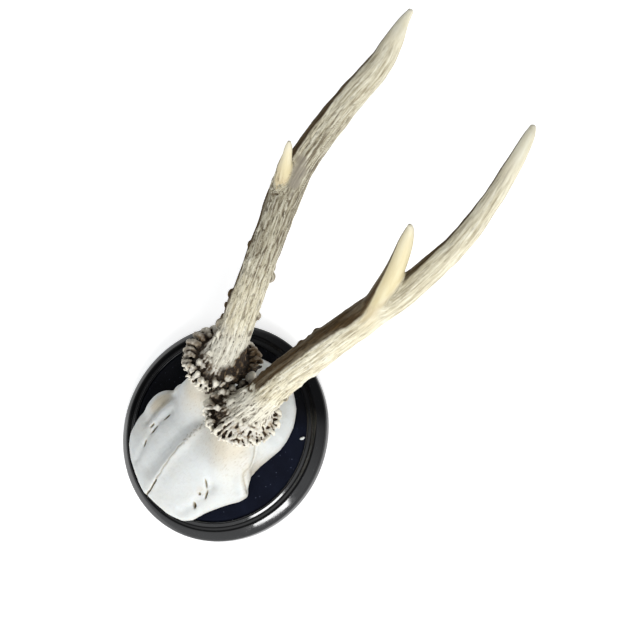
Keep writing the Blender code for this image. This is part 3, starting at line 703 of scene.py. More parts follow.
def horn(seed):
    """Antler: pale ridges, dark brown furrows and pores below, smooth ivory towards the tips,
    painted shade and highlights.
    """
    n = material(f"antler_{seed}")
    along, ring, polish, tone, tine, foot, coarse, hollow, valley = map(n.read, (
        "along", "ring", "polish", "tone", "tine", "foot", "coarse", "hollow", "valley"))
    place = n.position()
    flow, broken = (n.node("CombineXYZ", {
        "X": n.read("around_x"), "Y": n.read("around_y"), "Z": n.times(along, stretch)
    }).outputs[0] for stretch in (0.07, 0.15))
    streaks, drawn = n.noise(flow, 0.80, 4.0, 0.65), n.noise(flow, 0.5, 4.0)
    fine = n.noise(broken, 1.25, 4.0, 0.7)
    pores = n.times(n.span(n.spots(broken, 0.9), 0.26, 0.10), coarse)

    # The beam: streaks and fine grain, pale where it was rubbed and dark where it wasn't
    dark = n.ramp(streaks, (0.34, (0.165, 0.138, 0.087)), (0.45, (0.265, 0.237, 0.163)),
                  (0.55, (0.375, 0.346, 0.252)), (0.66, (0.56, 0.53, 0.415)))
    pale = n.ramp(streaks, (0.33, (0.39, 0.34, 0.23)), (0.43, (0.60, 0.54, 0.38)),
                  (0.53, (0.76, 0.705, 0.525)), (0.65, (0.86, 0.83, 0.69)))
    body = n.mix(
        dark,
        (tone, pale),
        (n.times(n.span(fine, 0.53, 0.66, 0.0, 0.85), n.span(coarse, 0.0, 1.0, 0.35, 1.0)),
         n.mix((0.12, 0.094, 0.055), (tone, (0.34, 0.27, 0.165)))),
        (n.span(fine, 0.46, 0.32, 0.0, 0.55),
         n.mix((0.62, 0.58, 0.45), (tone, (0.84, 0.81, 0.70)))),
        (n.times(foot, 0.45), (0.76, 0.75, 0.69)),
        (n.read("web"),
         n.mix((0.20, 0.175, 0.14), (n.span(streaks, 0.35, 0.65), (0.27, 0.24, 0.19)))))
    ivory = n.mix(n.ramp(drawn, (0.35, (0.64, 0.59, 0.42)), (0.65, (0.78, 0.75, 0.60))),
                  (tine, n.ramp(drawn, (0.35, (0.63, 0.54, 0.31)), (0.65, (0.71, 0.64, 0.42)))))
    warm = n.times(n.span(polish, 0.15, 0.5), n.span(polish, 0.95, 0.6))
    groove = n.times(n.read("groove"), n.span(tone, 0.3, 0.8, 1.0, 0.65))

    # The burr: knuckles with brown between them, darkened further as painted shade in hollows and
    # moats
    knuckle = n.mix(n.ramp(n.noise(place, 0.30, 4.0), (0.35, (0.53, 0.46, 0.35)),
                           (0.48, (0.72, 0.70, 0.64)), (0.62, (0.87, 0.82, 0.67))),
                    (n.span(fine, 0.52, 0.70, 0.0, 0.45), (0.24, 0.17, 0.10)),
                    # painted shade, darker the deeper the hollow
                    (n.span(valley, -0.40, 0.30), (0.125, 0.076, 0.036)),
                    (n.span(valley, 0.20, 0.75), (0.022, 0.014, 0.008)))
    shade = n.times(n.read("stain"), n.span(drawn, 0.25, 0.65, 0.80, 1.0))
    soil = n.times(n.read("soil"), n.span(valley, -1.7, -0.6, 0.72, 1.0))
    brown = n.span(fine, 0.35, 0.7)
    brown_and_shade_colour = n.mix((0.150, 0.092, 0.040), (brown, (0.075, 0.046, 0.021)),
                  (n.span(valley, -0.9, 0.0), (0.020, 0.013, 0.008)))
    deep = n.math("MAXIMUM", n.times(foot, 0.95), n.times(coarse, 0.4))
    # where the knuckles' convex tops get a painted highlight
    pale_share = n.times(ring, n.span(soil, 0.2, 0.8, 1.0, 0.15))
    colour = n.mix(
        body,
        (polish, ivory),
        (n.times(warm, n.span(tine, 0.0, 1.0, 0.10, 0.4)), (0.60, 0.45, 0.24)),
        (n.span(groove, 0.05, 0.8, 0.0, 0.75), (0.095, 0.068, 0.038)),
        # painted highlight on convex points
        (n.span(hollow, -0.03, -0.30, 0.0, 0.45), (0.82, 0.79, 0.68)),
        (ring, knuckle),
        # the side turned from the window: painted shade over a brown stain
        (shade, n.mix((0.095, 0.058, 0.025), (brown, (0.040, 0.025, 0.011)))),
        # painted shade of the moats, the shaded sides of the burrs and the contact, with the real
        # brown of the knobs
        (n.times(soil, 0.95), brown_and_shade_colour),
        # painted shade where the two burrs press on each other
        (n.times(n.read("pressed"), n.span(hollow, -0.25, 0.0, 0.2, 0.9)), (0.016, 0.011, 0.007)),
        # painted shade in hollows of the foot and the rough beam
        (n.times(deep, n.span(hollow, 0.08, 0.30, 0.0, 0.9)), (0.065, 0.038, 0.017)),
        (n.times(deep, n.span(hollow, 0.22, 0.45)), (0.012, 0.008, 0.005)),
        # painted highlight on convex tops of the knuckles, outside the painted shade
        (n.times(pale_share, n.span(hollow, -0.10, -0.45, 0.0, 0.75)), (0.84, 0.80, 0.68)),
        (n.times(pores, n.span(tone, 0.3, 0.8, 0.75, 0.45)), (0.06, 0.042, 0.023)))
    relief = n.plus(n.times(fine, 0.30), n.times(streaks, 0.30))
    relief = n.math("SUBTRACT", relief, n.times(pores, 0.30))
    n.bump(n.times(relief, n.span(polish, 0.0, 1.0, 1.0, 0.25)), 1.0, 0.8)
    return n.set(Base_Color=colour, Roughness=n.span(polish, 0.0, 1.0, 0.70, 0.45),
                 Specular_IOR_Level=n.span(shade, 0.0, 0.8, 0.3, 0.06))


def steel():
    """Zinc-plated steel with drawn scratches and a few duller clouds."""
    n = material("zinc_steel")
    place = n.position()
    scratches = n.noise(n.vector("MULTIPLY", place, (0.6, 14.0, 14.0)), 1.0, 3.0)
    n.bump(n.times(scratches, 0.02), 1.0, 0.6)
    return n.set(Base_Color=n.ramp(n.noise(place, 0.5, 3.0), (0.3, (0.50, 0.49, 0.46)),
                                   (0.7, (0.66, 0.65, 0.63))),
                 Metallic=1.0, Roughness=n.span(scratches, 0.3, 0.7, 0.28, 0.48))


def paper_floor():
    n = material("pale_floor")
    cloud = n.noise(n.position(), 0.004, 2.0)
    return n.set(Base_Color=n.ramp(cloud, (0.3, (0.95, 0.95, 0.95)), (0.7, (0.97, 0.97, 0.97))),
                 Roughness=0.9, Emission_Color=(1.0, 1.0, 1.0, 1.0), Emission_Strength=FLOOR_GLOW)


def finish_with(obj, material):
    obj.data.materials.clear()
    obj.data.materials.append(material)
    obj.data.shade_smooth()


# ---------- plaque and felt
def arc(centre, radius, start, end, count):
    angles = np.radians(np.linspace(start, end, count + 1))
    return list(zip(centre[0] + radius * np.cos(angles), centre[1] + radius * np.sin(angles)))


def plaque_outline():
    """(radius, height) of the turned plaque from its recess over the edge to its back."""
    rim, lip, foot = 60.0, 51.0, 2.8  # radii of the edge, the bead's middle and the rounded back
    recess, face, crown = 9.2, 11.0, 11.7  # heights of the recess, the face and the bead
    bead, fillet = 0.8, 0.9  # radius of the bead, and length of its sloping outer side
    # The rolled edge: length of the runs, their first and last slope, and their number
    bends = ((0.2, 2.0, 34.0, 6), (0.3, 36.0, 43.0, 14), (0.16, 47.0, 90.0, 14))
    runs, slopes = np.array([(run, slope) for run, first, last, count in bends
                             for slope in np.linspace(first, last, count)]).T
    ahead, down = runs * np.cos(np.radians(slopes)), runs * np.sin(np.radians(slopes))
    roll_start = rim - float(np.sum(ahead))
    roll = zip(roll_start + np.cumsum(ahead), face - np.cumsum(down))
    slope = math.radians(39.0)
    start = lip + bead * math.sin(slope) + fillet * math.cos(slope)
    bead_low = crown - bead + bead * math.cos(slope) - fillet * math.sin(slope)
    cove_start, floor = start + 0.75, bead_low - 0.35
    cove = [(cove_start + (roll_start - cove_start) * t,
             floor + (face - floor) * (1.0 - math.cos(math.pi * t)) / 2)
            for t in np.linspace(0.1, 0.95, 8)]
    return [(0.0, recess), (lip - 0.6, recess), *arc((lip, crown - bead), bead, 180, 51, 9),
            (start, bead_low), (start + 0.35, bead_low - 0.24), (cove_start, floor), *cove, *roll,
            *arc((rim - foot, foot), foot, 0, -90, 12), (0.0, 0.0)]


def turned(name, outline, segments):
    """A turned body from (radius, height) points that run down its outer side."""
    angles = np.arange(segments) * 2 * math.pi / segments
    points = [(r * math.cos(a), r * math.sin(a), z) for r, z in outline if r > 0 for a in angles]
    return add_mesh(name, *capped(points, segments))


def cut(obj, cutters):
    """Cuts the shapes out of obj and removes them."""
    for i, cutter in enumerate(cutters):
        modifier = obj.modifiers.new(f"cut_{i}", "BOOLEAN")
        modifier.operation, modifier.solver, modifier.object = "DIFFERENCE", "EXACT", cutter
    settled(obj)
    for cutter in cutters:
        bpy.data.objects.remove(cutter)


def block(low, high):
    corners = [[(low, high)[i][axis] for axis, i in enumerate(index)]
               for index in np.ndindex(2, 2, 2)]
    faces = [(0, 1, 3, 2), (4, 6, 7, 5), (0, 4, 5, 1), (2, 3, 7, 6), (0, 2, 6, 4), (1, 5, 7, 3)]
    return add_mesh("block", corners, faces)


def box_mm(node):
    low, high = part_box(node)
    return np.array(low) / MM, np.array(high) / MM


def make_plaque():
    plaque = turned("plaque_turned", plaque_outline(), 224)
    low, high = box_mm("hanger_plate")
    gap, pocket = 1.2, 2.4  # room beside the hanger in its pocket, and the pocket's depth
    wide, below, above, deep = 15.5, 3.7, 3.0, 3.7  # its deeper part, where the nail goes
    cutters = [block((low[0] - gap, low[1] - gap, -1.0), (high[0] + gap, high[1] + gap, pocket)),
               block((-wide, low[1] - below, -1.5), (wide, high[1] - above, deep))]
    shank, seat = 2.2, 1.12  # radius of the screw's hole, and height where its countersink starts
    for side in ("left", "right"):
        low, high = box_mm(f"skull_screw_{side}")
        head = (high[0] - low[0]) / 2 + 0.3
        hole = turned("hole", [(shank, 20.0), (shank, seat + head - shank), (head, seat),
                               (head, -1.0)], 48)
        hole.location = ((low[0] + high[0]) / 2 * MM, (low[1] + high[1]) / 2 * MM, 0.0)
        cutters.append(hole)
    cut(plaque, cutters)
    finish_with(plaque, lacquer())
    plaque.data.set_sharp_from_angle(angle=math.radians(32))
    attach(plaque, "root")
    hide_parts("plaque")


FELT_RADIUS = 50.0


def make_felt():
    """A felt disc with a slightly wavy, napped face and a soft cut edge."""
    low, high = box_mm("felt_panel")
    rings, segments = 70, 160
    edge, drop = 1.2, 0.35  # width of the soft edge, and how far it falls
    angles = np.arange(segments) * 2 * math.pi / segments
    points = [(0.0, 0.0, high[2])]
    for r in FELT_RADIUS * np.linspace(0.0, 1.0, rings + 1)[1:]:
        height = high[2] - drop * max(0.0, (r - FELT_RADIUS + edge) / edge) ** 2
        points += [(r * math.cos(a), r * math.sin(a), height) for a in angles]
    last = len(points)
    points += [(FELT_RADIUS * math.cos(a), FELT_RADIUS * math.sin(a), low[2]) for a in angles]
    points = np.array(points)
    face = points[:last]
    face[:, 2] += 0.10 * noise(face * 0.12, 3) + 0.05 * noise(face * 0.9, 4) - 0.12
    faces = [(0, 1 + j, 1 + (j + 1) % segments) for j in range(segments)]
    faces += ring_faces(rings + 1, segments, start=1)
    faces.append(tuple(range(last + segments - 1, last - 1, -1)))
    cloth = add_mesh("felt_cloth", points, faces)
    finish_with(cloth, felt())
    cloth.data.set_sharp_from_angle(angle=math.radians(50))
    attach(cloth, "root")
    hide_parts("felt_panel")


def make_crumb():
    """The white crumb that lies on the felt."""
    turn = ((0.35, 0.93, 0.1), (-0.93, 0.36, 0.0), (0.0, -0.1, 1.0))
    crumb = add_mesh("felt_crumb", *pearl((35.4, 33.2, 11.5), (1.5, 0.8, 0.6), turn))
    skin = Skin(crumb)
    skin.raise_by(0.25 * skin.noise(1.1, 71))
    skin.store()
    skin.attributes(warm=0.0, stain=0.0, hollow=0.0)
    finish_with(crumb, bone())
    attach(crumb, "root")


# ---------- skull cap
# Outline of the sawn face, anticlockwise from the nose end, x and y
SKULL_OUTLINE = (
    (3.0, -53.4), (11.0, -52.0), (20.0, -49.6), (28.0, -45.2), (31.6, -40.0), (33.0, -33.0),
    (35.2, -26.0), (38.0, -19.5), (40.6, -13.0), (40.8, -8.6), (37.2, -5.2), (33.6, -1.0),
    (32.6, 6.0), (33.0, 13.0), (33.2, 19.0), (31.6, 26.0), (28.0, 33.5), (21.5, 40.5), (13.0, 45.0),
    (3.0, 46.9), (-7.0, 45.6), (-15.5, 42.0), (-23.0, 36.0), (-28.0, 27.0), (-30.0, 16.0),
    (-29.6, 6.0), (-29.0, -1.0), (-30.6, -6.6), (-35.6, -10.5), (-37.8, -17.0), (-37.4, -25.0),
    (-35.6, -33.4), (-32.6, -41.0), (-27.8, -45.8), (-20.5, -49.8), (-12.0, -52.2), (-4.5, -53.4),
)
BACK_POINT = 19  # the outline's point at the very back, between its right and left half
# Height of the midline along y
RIDGE = ((-54.0, 15.0), (-50.0, 17.6), (-46.0, 20.0), (-40.0, 22.8), (-32.0, 25.8), (-24.0, 28.6),
         (-15.0, 31.0), (-6.0, 32.6), (2.0, 33.0), (10.0, 31.6), (18.0, 28.0), (27.0, 23.0),
         (36.0, 18.6), (43.0, 15.6), (48.0, 13.6))
# Long ridges and troughs: x, y points, half-width and height
SKULL_LINES = (
    (((2.6, -44.0), (1.2, -24.0), (1.6, -4.0)), 2.4, 0.9),  # seam between the frontal bones
    (((-5.5, -42.0), (-6.2, -22.0), (-4.6, -4.0)), 4.6, -1.3),
    (((9.0, -38.0), (12.0, -20.0)), 8.0, 0.7),
    (((26.6, -18.0), (26.2, -32.0), (24.0, -42.0)), 2.6, -0.8),  # right vessel groove
    (((-19.6, -12.0), (-20.6, -25.0), (-18.4, -34.0), (-15.0, -46.0)), 2.2, -1.0),  # left one
    (((-24.2, -6.0), (-24.6, -16.0), (-23.8, -27.0)), 2.4, 0.9),  # edge above the left orbit
    (((-27.4, -9.5), (-27.8, -18.0), (-26.6, -28.0)), 2.2, -1.7),
    (((10.0, -2.0), (17.0, -9.0), (25.0, -17.0)), 3.2, -1.2),  # hollow beside the right pedicle
)
# Holes of vessels: x, y, half-length, half-width, direction in degrees, depth
SKULL_HOLES = (
    (23.6, -20.2, 2.8, 0.55, -42.0, 1.6),
    (27.2, -24.2, 3.0, 0.65, -66.0, 2.0),
    (24.6, -26.8, 0.9, 0.7, -60.0, 1.8),
    (26.6, -33.4, 2.0, 0.95, -36.0, 2.6),
    (-19.4, -16.6, 2.8, 0.6, -92.0, 1.5),
    (-22.5, -26.6, 2.2, 0.65, -88.0, 1.5),
    (-19.6, -26.8, 3.6, 0.7, -86.0, 1.9),
    (-18.2, -36.0, 2.4, 0.65, -60.0, 1.7),
)
# Yellowish places: x, y, outer and inner radius across, how much the distance along y counts, and
# how warm. The second, on the left orbital lobe, is painted shade.
WARM_PLACES = ((27.0, 2.0, 15.0, 2.0, 0.7, 0.5), (-30.5, -16.0, 5.4, 0.5, 0.5, 1.4),
               (24.0, -25.0, 3.5, 0.5, 1.0, 0.35))
CRACK = ((3.4, -54.0), (4.2, -49.0), (4.1, -44.3), (3.8, -41.5))
SEAM = ((3.8, -41.5), (2.9, -35.5), (1.8, -28.0), (1.0, -20.0))
TOOTHED_SEAM = ((1.0, -20.0), (0.6, -10.0), (1.2, -1.0), (1.8, 6.0))
# Edge below the right pedicle
CREASE = ((27.8, 13.4, 27.9), (30.4, 9.8, 25.5), (32.2, 5.3, 22.8), (33.1, 1.9, 24.4),
          (33.9, -1.0, 24.0), (35.9, -3.1, 22.0), (38.0, -4.9, 18.5), (39.6, -6.5, 15.1))
SKULL_STEP = 0.56
SKULL_GRID = ((-43.0, -57.0, 10.0), (88.0, 108.0, 47.0))  # low corner and size of the bone's grid


def line_gap(x, y, line):
    """Distance in the plane from each point to a line of x, y points."""
    best = np.full(np.shape(x), 1e9)
    for (ax, ay), (bx, by) in zip(line, line[1:]):
        dx, dy = bx - ax, by - ay
        share = np.clip(((x - ax) * dx + (y - ay) * dy) / (dx * dx + dy * dy), 0.0, 1.0)
        best = np.minimum(best, np.hypot(x - ax - share * dx, y - ay - share * dy))
    return best


def outline_gap(x, y):
    """Signed distance from the skull's outline, negative inside."""
    line = curve_through((*SKULL_OUTLINE, SKULL_OUTLINE[0]), 1.6)
    inside = np.zeros(np.shape(x), bool)
    for (ax, ay), (bx, by) in zip(line, line[1:]):
        if ay != by:
            inside ^= ((ay > y) != (by > y)) & (x < (bx - ax) * (y - ay) / (by - ay) + ax)
    return np.where(inside, -1.0, 1.0) * line_gap(x, y, line)


def hole_shares(x, y):
    """For each vessel hole, 1 in its middle and 0 outside, with its depth."""
    for cx, cy, length, width, direction, depth in SKULL_HOLES:
        c, s = math.cos(math.radians(direction)), math.sin(math.radians(direction))
        u, v = (x - cx) * c + (y - cy) * s, (y - cy) * c - (x - cx) * s
        yield smooth(1.15, 0.35, np.hypot(u / length, v / width)), depth


def bone_top(x, y):
    """Height of the bone over each x, y: a roof-like forehead that turns into a round braincase."""
    rows = np.array(SKULL_OUTLINE)
    right = np.interp(y, rows[:BACK_POINT + 1, 1], rows[:BACK_POINT + 1, 0])
    left = np.interp(y, rows[:BACK_POINT - 1:-1, 1], rows[:BACK_POINT - 1:-1, 0])
    half = np.where(x > MIDLINE, right - MIDLINE, MIDLINE - left).clip(3.0)
    t = (np.abs(x - MIDLINE) / half).clip(0.0, 1.0)
    dome = np.sqrt((1.0 - t**2.6).clip(0.0))
    roof = (1.0 - t) ** 0.8 * 0.62 + dome * 0.38
    back = smooth(-10.0, 16.0, y)
    ridge = np.interp(y, *np.array(RIDGE).T)
    top = SAWN_FACE + (ridge - SAWN_FACE) * (roof * (1.0 - back) + dome * back)
    for line, width, height in SKULL_LINES:
        points = curve_through(line, 4.0)
        top += height * np.exp(-((line_gap(x, y, points) / width) ** 2))
    return top


def capsule(points, a, b, radius_a, radius_b):
    """Distance from a round bar that tapers from a to b."""
    a, b = np.array(a), np.array(b)
    run = b - a
    share = (((points - a) @ run) / (run @ run)).clip(0.0, 1.0)
    gap = np.linalg.norm(points - a - share[..., None] * run, axis=-1)
    return gap - radius_a - (radius_b - radius_a) * share


def ellipsoid(points, centre, half):
    """Rough distance from an ellipsoid."""
    gap = np.linalg.norm((points - np.array(centre)) / np.array(half), axis=-1)
    return (gap - 1.0) * min(half)


def skull_field(points, top, rim):
    """Negative inside the bone."""
    z = points[..., 2]
    body = smooth_max((z - top) * 0.8, rim, 2.2)
    for antler, ridge in ((LEFT, ((-21.5, 6.0, 28.0), (-27.6, -3.0, 19.0), (-30.6, -9.0, 15.0))),
                          (RIGHT, ((26.5, 6.0, 27.0), (33.0, -3.0, 19.5), (38.2, -8.6, 15.4)))):
        axis = unit(antler["axis"])
        foot = np.array(antler["burr"]) - axis * BURR_FOOT
        girth = 11.6 if antler is LEFT else 13.0
        stump = capsule(points, antler["root"], foot + axis * 2.0, girth, 11.0)
        stump = np.maximum(stump, (points - foot) @ axis - 0.4)
        body = smooth_min(body, stump, 9.0)
        body = smooth_min(body, capsule(points, ridge[0], ridge[1], 4.0, 2.8), 5.0)
        body = smooth_min(body, capsule(points, ridge[1], ridge[2], 2.8, 2.2), 4.0)
    body = smooth_min(body, ellipsoid(points, (-32.6, -18.0, 14.6), (5.2, 9.6, 4.9)), 1.6)
    for x in (46.5, -45.2):  # the orbits leave an arched edge over the sawn face
        body = smooth_max(body, -ellipsoid(points, (x, -25.0, 8.5), (12.0, 13.0, 7.0)), 1.2)
    body = smooth_max(body, -ellipsoid(points, (MIDLINE, 16.0, SAWN_FACE), (12.2, 12.6, 8.0)), 1.0)
    return smooth_max(body, SAWN_FACE - z, 0.5)


def zigzag(y):
    """Sideways teeth of the seam between the frontal bones."""
    wide = smooth(-18.0, -12.0, y)
    return wide * (1.1 * np.sin(y * 2.6) + 0.6 * np.sin(y * 4.3 + 1.0)) + 0.35 * np.sin(y * 0.9)


def make_skull():
    low, size = np.array(SKULL_GRID)
    shape = np.ceil(size / SKULL_STEP).astype(int)
    axes = [low[i] + SKULL_STEP * np.arange(shape[i]) for i in range(3)]
    x, y = np.meshgrid(axes[0], axes[1], indexing="ij")
    top, rim = bone_top(x, y), outline_gap(x, y)
    for share, depth in hole_shares(x, y):
        top = top - share * depth
    top = top - 1.3 * smooth(0.6, 0.1, line_gap(x, y, CRACK))
    field = np.empty(shape)
    for k, z in enumerate(axes[2]):
        level = np.stack([x, y, np.full(x.shape, z)], axis=-1)
        field[:, :, k] = skull_field(level, top, rim)
    obj = skin_of(field, low, SKULL_STEP, "skull_cap_bone")
    skin = Skin(obj)
    skin.relax(2)

    x, y, z = skin.points.T
    upper = skin.normals()[:, 2] > 0.05
    teeth = line_gap(x + zigzag(y), y, TOOTHED_SEAM)
    seam = np.minimum(teeth, line_gap(x + 0.5 * zigzag(y), y, SEAM))
    crack = line_gap(x, y, CRACK)
    edge = curve_through(CREASE, 0.8)
    crease = skin.gap(edge[nearest_on(edge, skin.points)])
    relief = 0.22 * skin.noise(0.11, 41) + 0.07 * skin.noise(0.45, 42) + 0.035 * skin.noise(1.1, 43)
    relief -= upper * 0.34 * smooth(0.7, 0.1, seam)
    relief -= 0.6 * smooth(1.7, 0.2, crease)
    skin.raise_by(relief * smooth(SAWN_FACE, SAWN_FACE + 1.0, z))

    holes = [share for share, _ in hole_shares(x, y)]
    # Stains in the seams, crack and holes; along the crease and on the left orbital lobe it is
    # painted shade
    stain = highest([0.40 * smooth(0.7, 0.1, seam) + 0.9 * smooth(0.6, 0.15, crack),
                     0.2 * smooth(5.4, 1.5, np.hypot(x + 32.0, (y + 14.0) * 0.5)),
                     0.30 * smooth(1.1, 0.2, crease), *(share * 0.75 for share in holes)])
    warm = 0.9 * smooth(28.0, 40.0, z) + 0.25 * highest(smooth(0.0, 0.25, share) for share in holes)
    for across, along, outer, inner, counts, amount in WARM_PLACES:
        gap = np.hypot(x - across, (y - along) * counts)
        warm += amount * smooth(outer, inner, gap)
    warm += 0.30 * smooth(-1.6, -0.2, outline_gap(x, y))
    skin.attributes(stain=stain * np.maximum(upper, crease < 1.2), warm=warm.clip(0.0, 1.0),
                    hollow=skin.hollows(14))
    finish_with(obj, bone())
    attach(obj, "root")
    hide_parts("skull_cap")


# ---------- antlers
def burr_axes(antler):
    """Unit axis of the burr, and two directions across it."""
    axis = unit(antler["axis"])
    side = unit(np.cross(axis, (0.0, 0.0, 1.0)))
    return axis, side, np.cross(axis, side)


def on_burr(antler, angle, radius, height):
    """A point on the burr by angle, radius and height over the rim, leaning like the beam."""
    axis, side, front = burr_axes(antler)
    beam = np.array(antler["beam"])[:, :3]
    run = unit(beam[3] - beam[2])
    lean = run / (run @ axis) - axis
    centre = np.array(antler["burr"]) + axis * height + lean * max(height - 1.0, 0.0)
    return centre + (side * math.cos(angle) + front * math.sin(angle)) * radius


def burr_core(antler):
    """The solid disc under ribs and pearls."""
    outline = ((9.0, 0.0), (12.0, -1.6), (15.0, -2.4), (BURR_RIM - 1.2, -1.9), (BURR_RIM, -2.4),
               (BURR_RIM - 0.5, -3.6), (BURR_RIM - 2.5, -4.4), (12.0, -BURR_FOOT - 0.6),
               (9.0, -BURR_FOOT))
    segments = 48
    return capped([on_burr(antler, 2 * math.pi * j / segments, radius, height)
                   for radius, height in outline for j in range(segments)], segments)


def moat_share(antler, degrees):
    """1 where a moat parts the beam's foot from the knuckles, 0 where it runs out to the rim."""
    return between(*antler["moat"], degrees)


def between(start, end, degrees, soft=9.0):
    """1 within an angle's range and 0 outside it, with soft ends."""
    middle, half = (start + end) / 2.0, (end - start) / 2.0
    away = np.abs((degrees - middle + 180.0) % 360.0 - 180.0)
    return smooth(half + soft, half - soft, away)


def foot_radius(antler, degrees, height):
    """Radius of the foot of the beam at an angle and a height over the burr's rim."""
    moat = moat_share(antler, degrees)
    reach = (BURR_RIM - 0.6) * (1.0 - moat) + 13.4 * moat
    steepness = 2.6 + 0.6 * moat
    foot = antler["foot"]
    return foot + (reach - foot) * np.clip(1.0 - height / FOOT_HEIGHT, 0.0, 1.0) ** steepness


def burr_foot(antler):
    """The flared foot of the beam under its ribs."""
    segments = 90
    return capped([on_burr(antler, 2 * math.pi * j / segments,
                           foot_radius(antler, 360.0 * j / segments, height) - 0.5, height - 0.4)
                   for height in np.linspace(-2.6, FOOT_HEIGHT, 14) for j in range(segments)],
                  segments, outward=False)


def rib(rows):
    line = curve_through(rows, 0.6)
    return tube(line[:, :3], line[:, 3].clip(0.3), 9)


def burr_ribs(antler, rng):
    """Ribs that run down the foot of the beam, and outside the moat on over the burr to its rim."""
    shapes = []
    for i in range(RIBS):
        degrees = 360.0 * (i + rng.uniform(-0.35, 0.35)) / RIBS
        moat = float(moat_share(antler, degrees))
        twist = rng.uniform(-7.0, 7.0)
        top, low = rng.uniform(5.0, 17.0), rng.uniform(-0.8, 0.9) - 1.6 * moat
        girth = rng.uniform(0.55, 1.0) + 0.25 * moat
        rows = []
        for t in np.linspace(0.0, 1.0, 9):
            height = low + (top - low) * (1.0 - t) ** 1.5
            turn = degrees + twist * (t - 0.5) + rng.uniform(-1.3, 1.3)
            radius = foot_radius(antler, turn, height) + rng.uniform(-0.35, 0.4) * girth
            rows.append((*on_burr(antler, math.radians(turn), radius, height),
                         girth * (0.45 + 0.5 * t) * rng.uniform(0.7, 1.35)))
        if moat < 0.5:
            turn = math.radians(degrees + twist * 0.5)
            rows.append((*on_burr(antler, turn, BURR_RIM + 1.0, low - 1.4), girth * 0.8))
        shapes.append(rib(rows))
    for _ in range(KNOTS):
        degrees = rng.uniform(0.0, 360.0)
        height = rng.uniform(-0.6, 1.0) + 8.0 * rng.uniform(0.0, 1.0) ** 3
        if moat_share(antler, degrees) > 0.2:
            continue
        angle = math.radians(degrees)
        long = on_burr(antler, angle, 16.0, 0.0) - on_burr(antler, angle, 10.0, 3.0)
        wide = np.cross(long, unit(antler["axis"]))
        half = rng.uniform(0.45, 0.9) * np.array([rng.uniform(1.0, 2.4), 1.0, 1.0])
        place = on_burr(antler, angle, foot_radius(antler, degrees, height), height)
        shapes.append(pearl(place, half, (unit(long), unit(wide), unit(np.cross(long, wide)))))
    for degrees, inner, outer, height, girth in antler["lobes"]:
        angle, bend = math.radians(degrees), rng.uniform(-0.06, 0.06)
        span = outer - inner
        rows = [(*on_burr(antler, angle - bend, inner - 1.0, min(height - 3.2, -0.6)), girth * 0.5),
                (*on_burr(antler, angle, inner + 0.3 * span, height - 0.6), girth * 0.8),
                (*on_burr(antler, angle + bend, inner + 0.7 * span, height), girth * 0.95),
                (*on_burr(antler, angle, outer, height - 1.3), girth * 0.8),
                (*on_burr(antler, angle, outer + 0.2, min(height - 3.0, -1.0)), girth * 0.7)]
        shapes.append(rib(rows))
        for _ in range(3):  # smaller knuckles grown together with it
            turn, out = angle + rng.uniform(-1.6, 1.6) / outer, rng.uniform(inner, outer + 0.6)
            half = girth * rng.uniform(0.35, 0.6) * np.array([rng.uniform(1.0, 1.8), 1.0, 1.0])
            turned_by = Matrix.Rotation(rng.uniform(0.0, 3.1), 3, Vector(unit(rng.normal(size=3))))
            shapes.append(pearl(on_burr(antler, turn, out, height + rng.uniform(-1.4, 0.4)), half,
                                np.array(turned_by)))
    return shapes


def burr_pearls(antler, rng):
    """Rows of small irregular pearls round the rim."""
    axis, side, front = burr_axes(antler)
    shapes = []
    rows = ((42, BURR_RIM + 1.0, 0.2, 1.0), (46, BURR_RIM + 1.1, -1.5, 0.95),
            (40, BURR_RIM + 0.3, -3.2, 0.9), (36, BURR_RIM - 1.0, 0.9, 0.8),
            (30, BURR_RIM - 2.6, -4.4, 0.85))
    for count, radius, height, size in rows:
        for i in range(count):
            angle = 2 * math.pi * (i + rng.uniform(-0.4, 0.4)) / count
            bare = any(low < math.degrees(angle) < high for low, high in antler["bare"])
            if height > 0.0 and bare:
                continue  # broad knuckles take the place of pearls there
            out = side * math.cos(angle) + front * math.sin(angle)
            across = np.cross(axis, out)
            turn = rng.uniform(-0.9, 0.9)
            long = out * math.cos(turn) + axis * math.sin(turn)
            half = size * rng.uniform(0.65, 1.25) * np.array(
                [rng.uniform(0.9, 1.5), rng.uniform(0.7, 1.0), rng.uniform(0.8, 1.1)])
            centre = on_burr(antler, angle, radius + rng.uniform(-0.9, 0.6),
                             height + rng.uniform(-0.6, 0.6))
            shapes.append(pearl(centre, half, (long, across, np.cross(long, across))))
    return shapes


def beam_pearls(line, radii, rng):
    """Drawn-out pearls scattered over the lowest third of the beam, thickest near the burr."""
    tangents, across, front = frames_along(line)
    shapes = []
    for _ in range(BEAM_PEARLS):
        i = int(len(line) * (0.02 + 0.34 * rng.uniform(0.0, 1.0) ** 2.4))
        angle = rng.uniform(0.0, 2 * math.pi)
        out = across[i] * math.cos(angle) + front[i] * math.sin(angle)
        size = rng.uniform(0.55, 1.2)
        centre = line[i] + out * (radii[i] - 0.25 * size)
        shapes.append(pearl(centre, np.array([rng.uniform(1.4, 3.2), 0.8, 0.8]) * size,
                            (tangents[i], np.cross(tangents[i], out), out)))
    return shapes


def knobs(antler, line):
    """Single larger knobs on the beam, drawn out along it."""
    tangents, across, front = frames_along(line)
    shapes = []
    for row in (*antler["knobs"], *antler["white"]):
        place = np.array(row[:3])
        i = nearest_on(line, [place])[0]
        axes = tangents[i], across[i], front[i]
        shapes.append(pearl(place, np.array([1.55, 1.0, 0.9]) * row[3], axes))
    return shapes


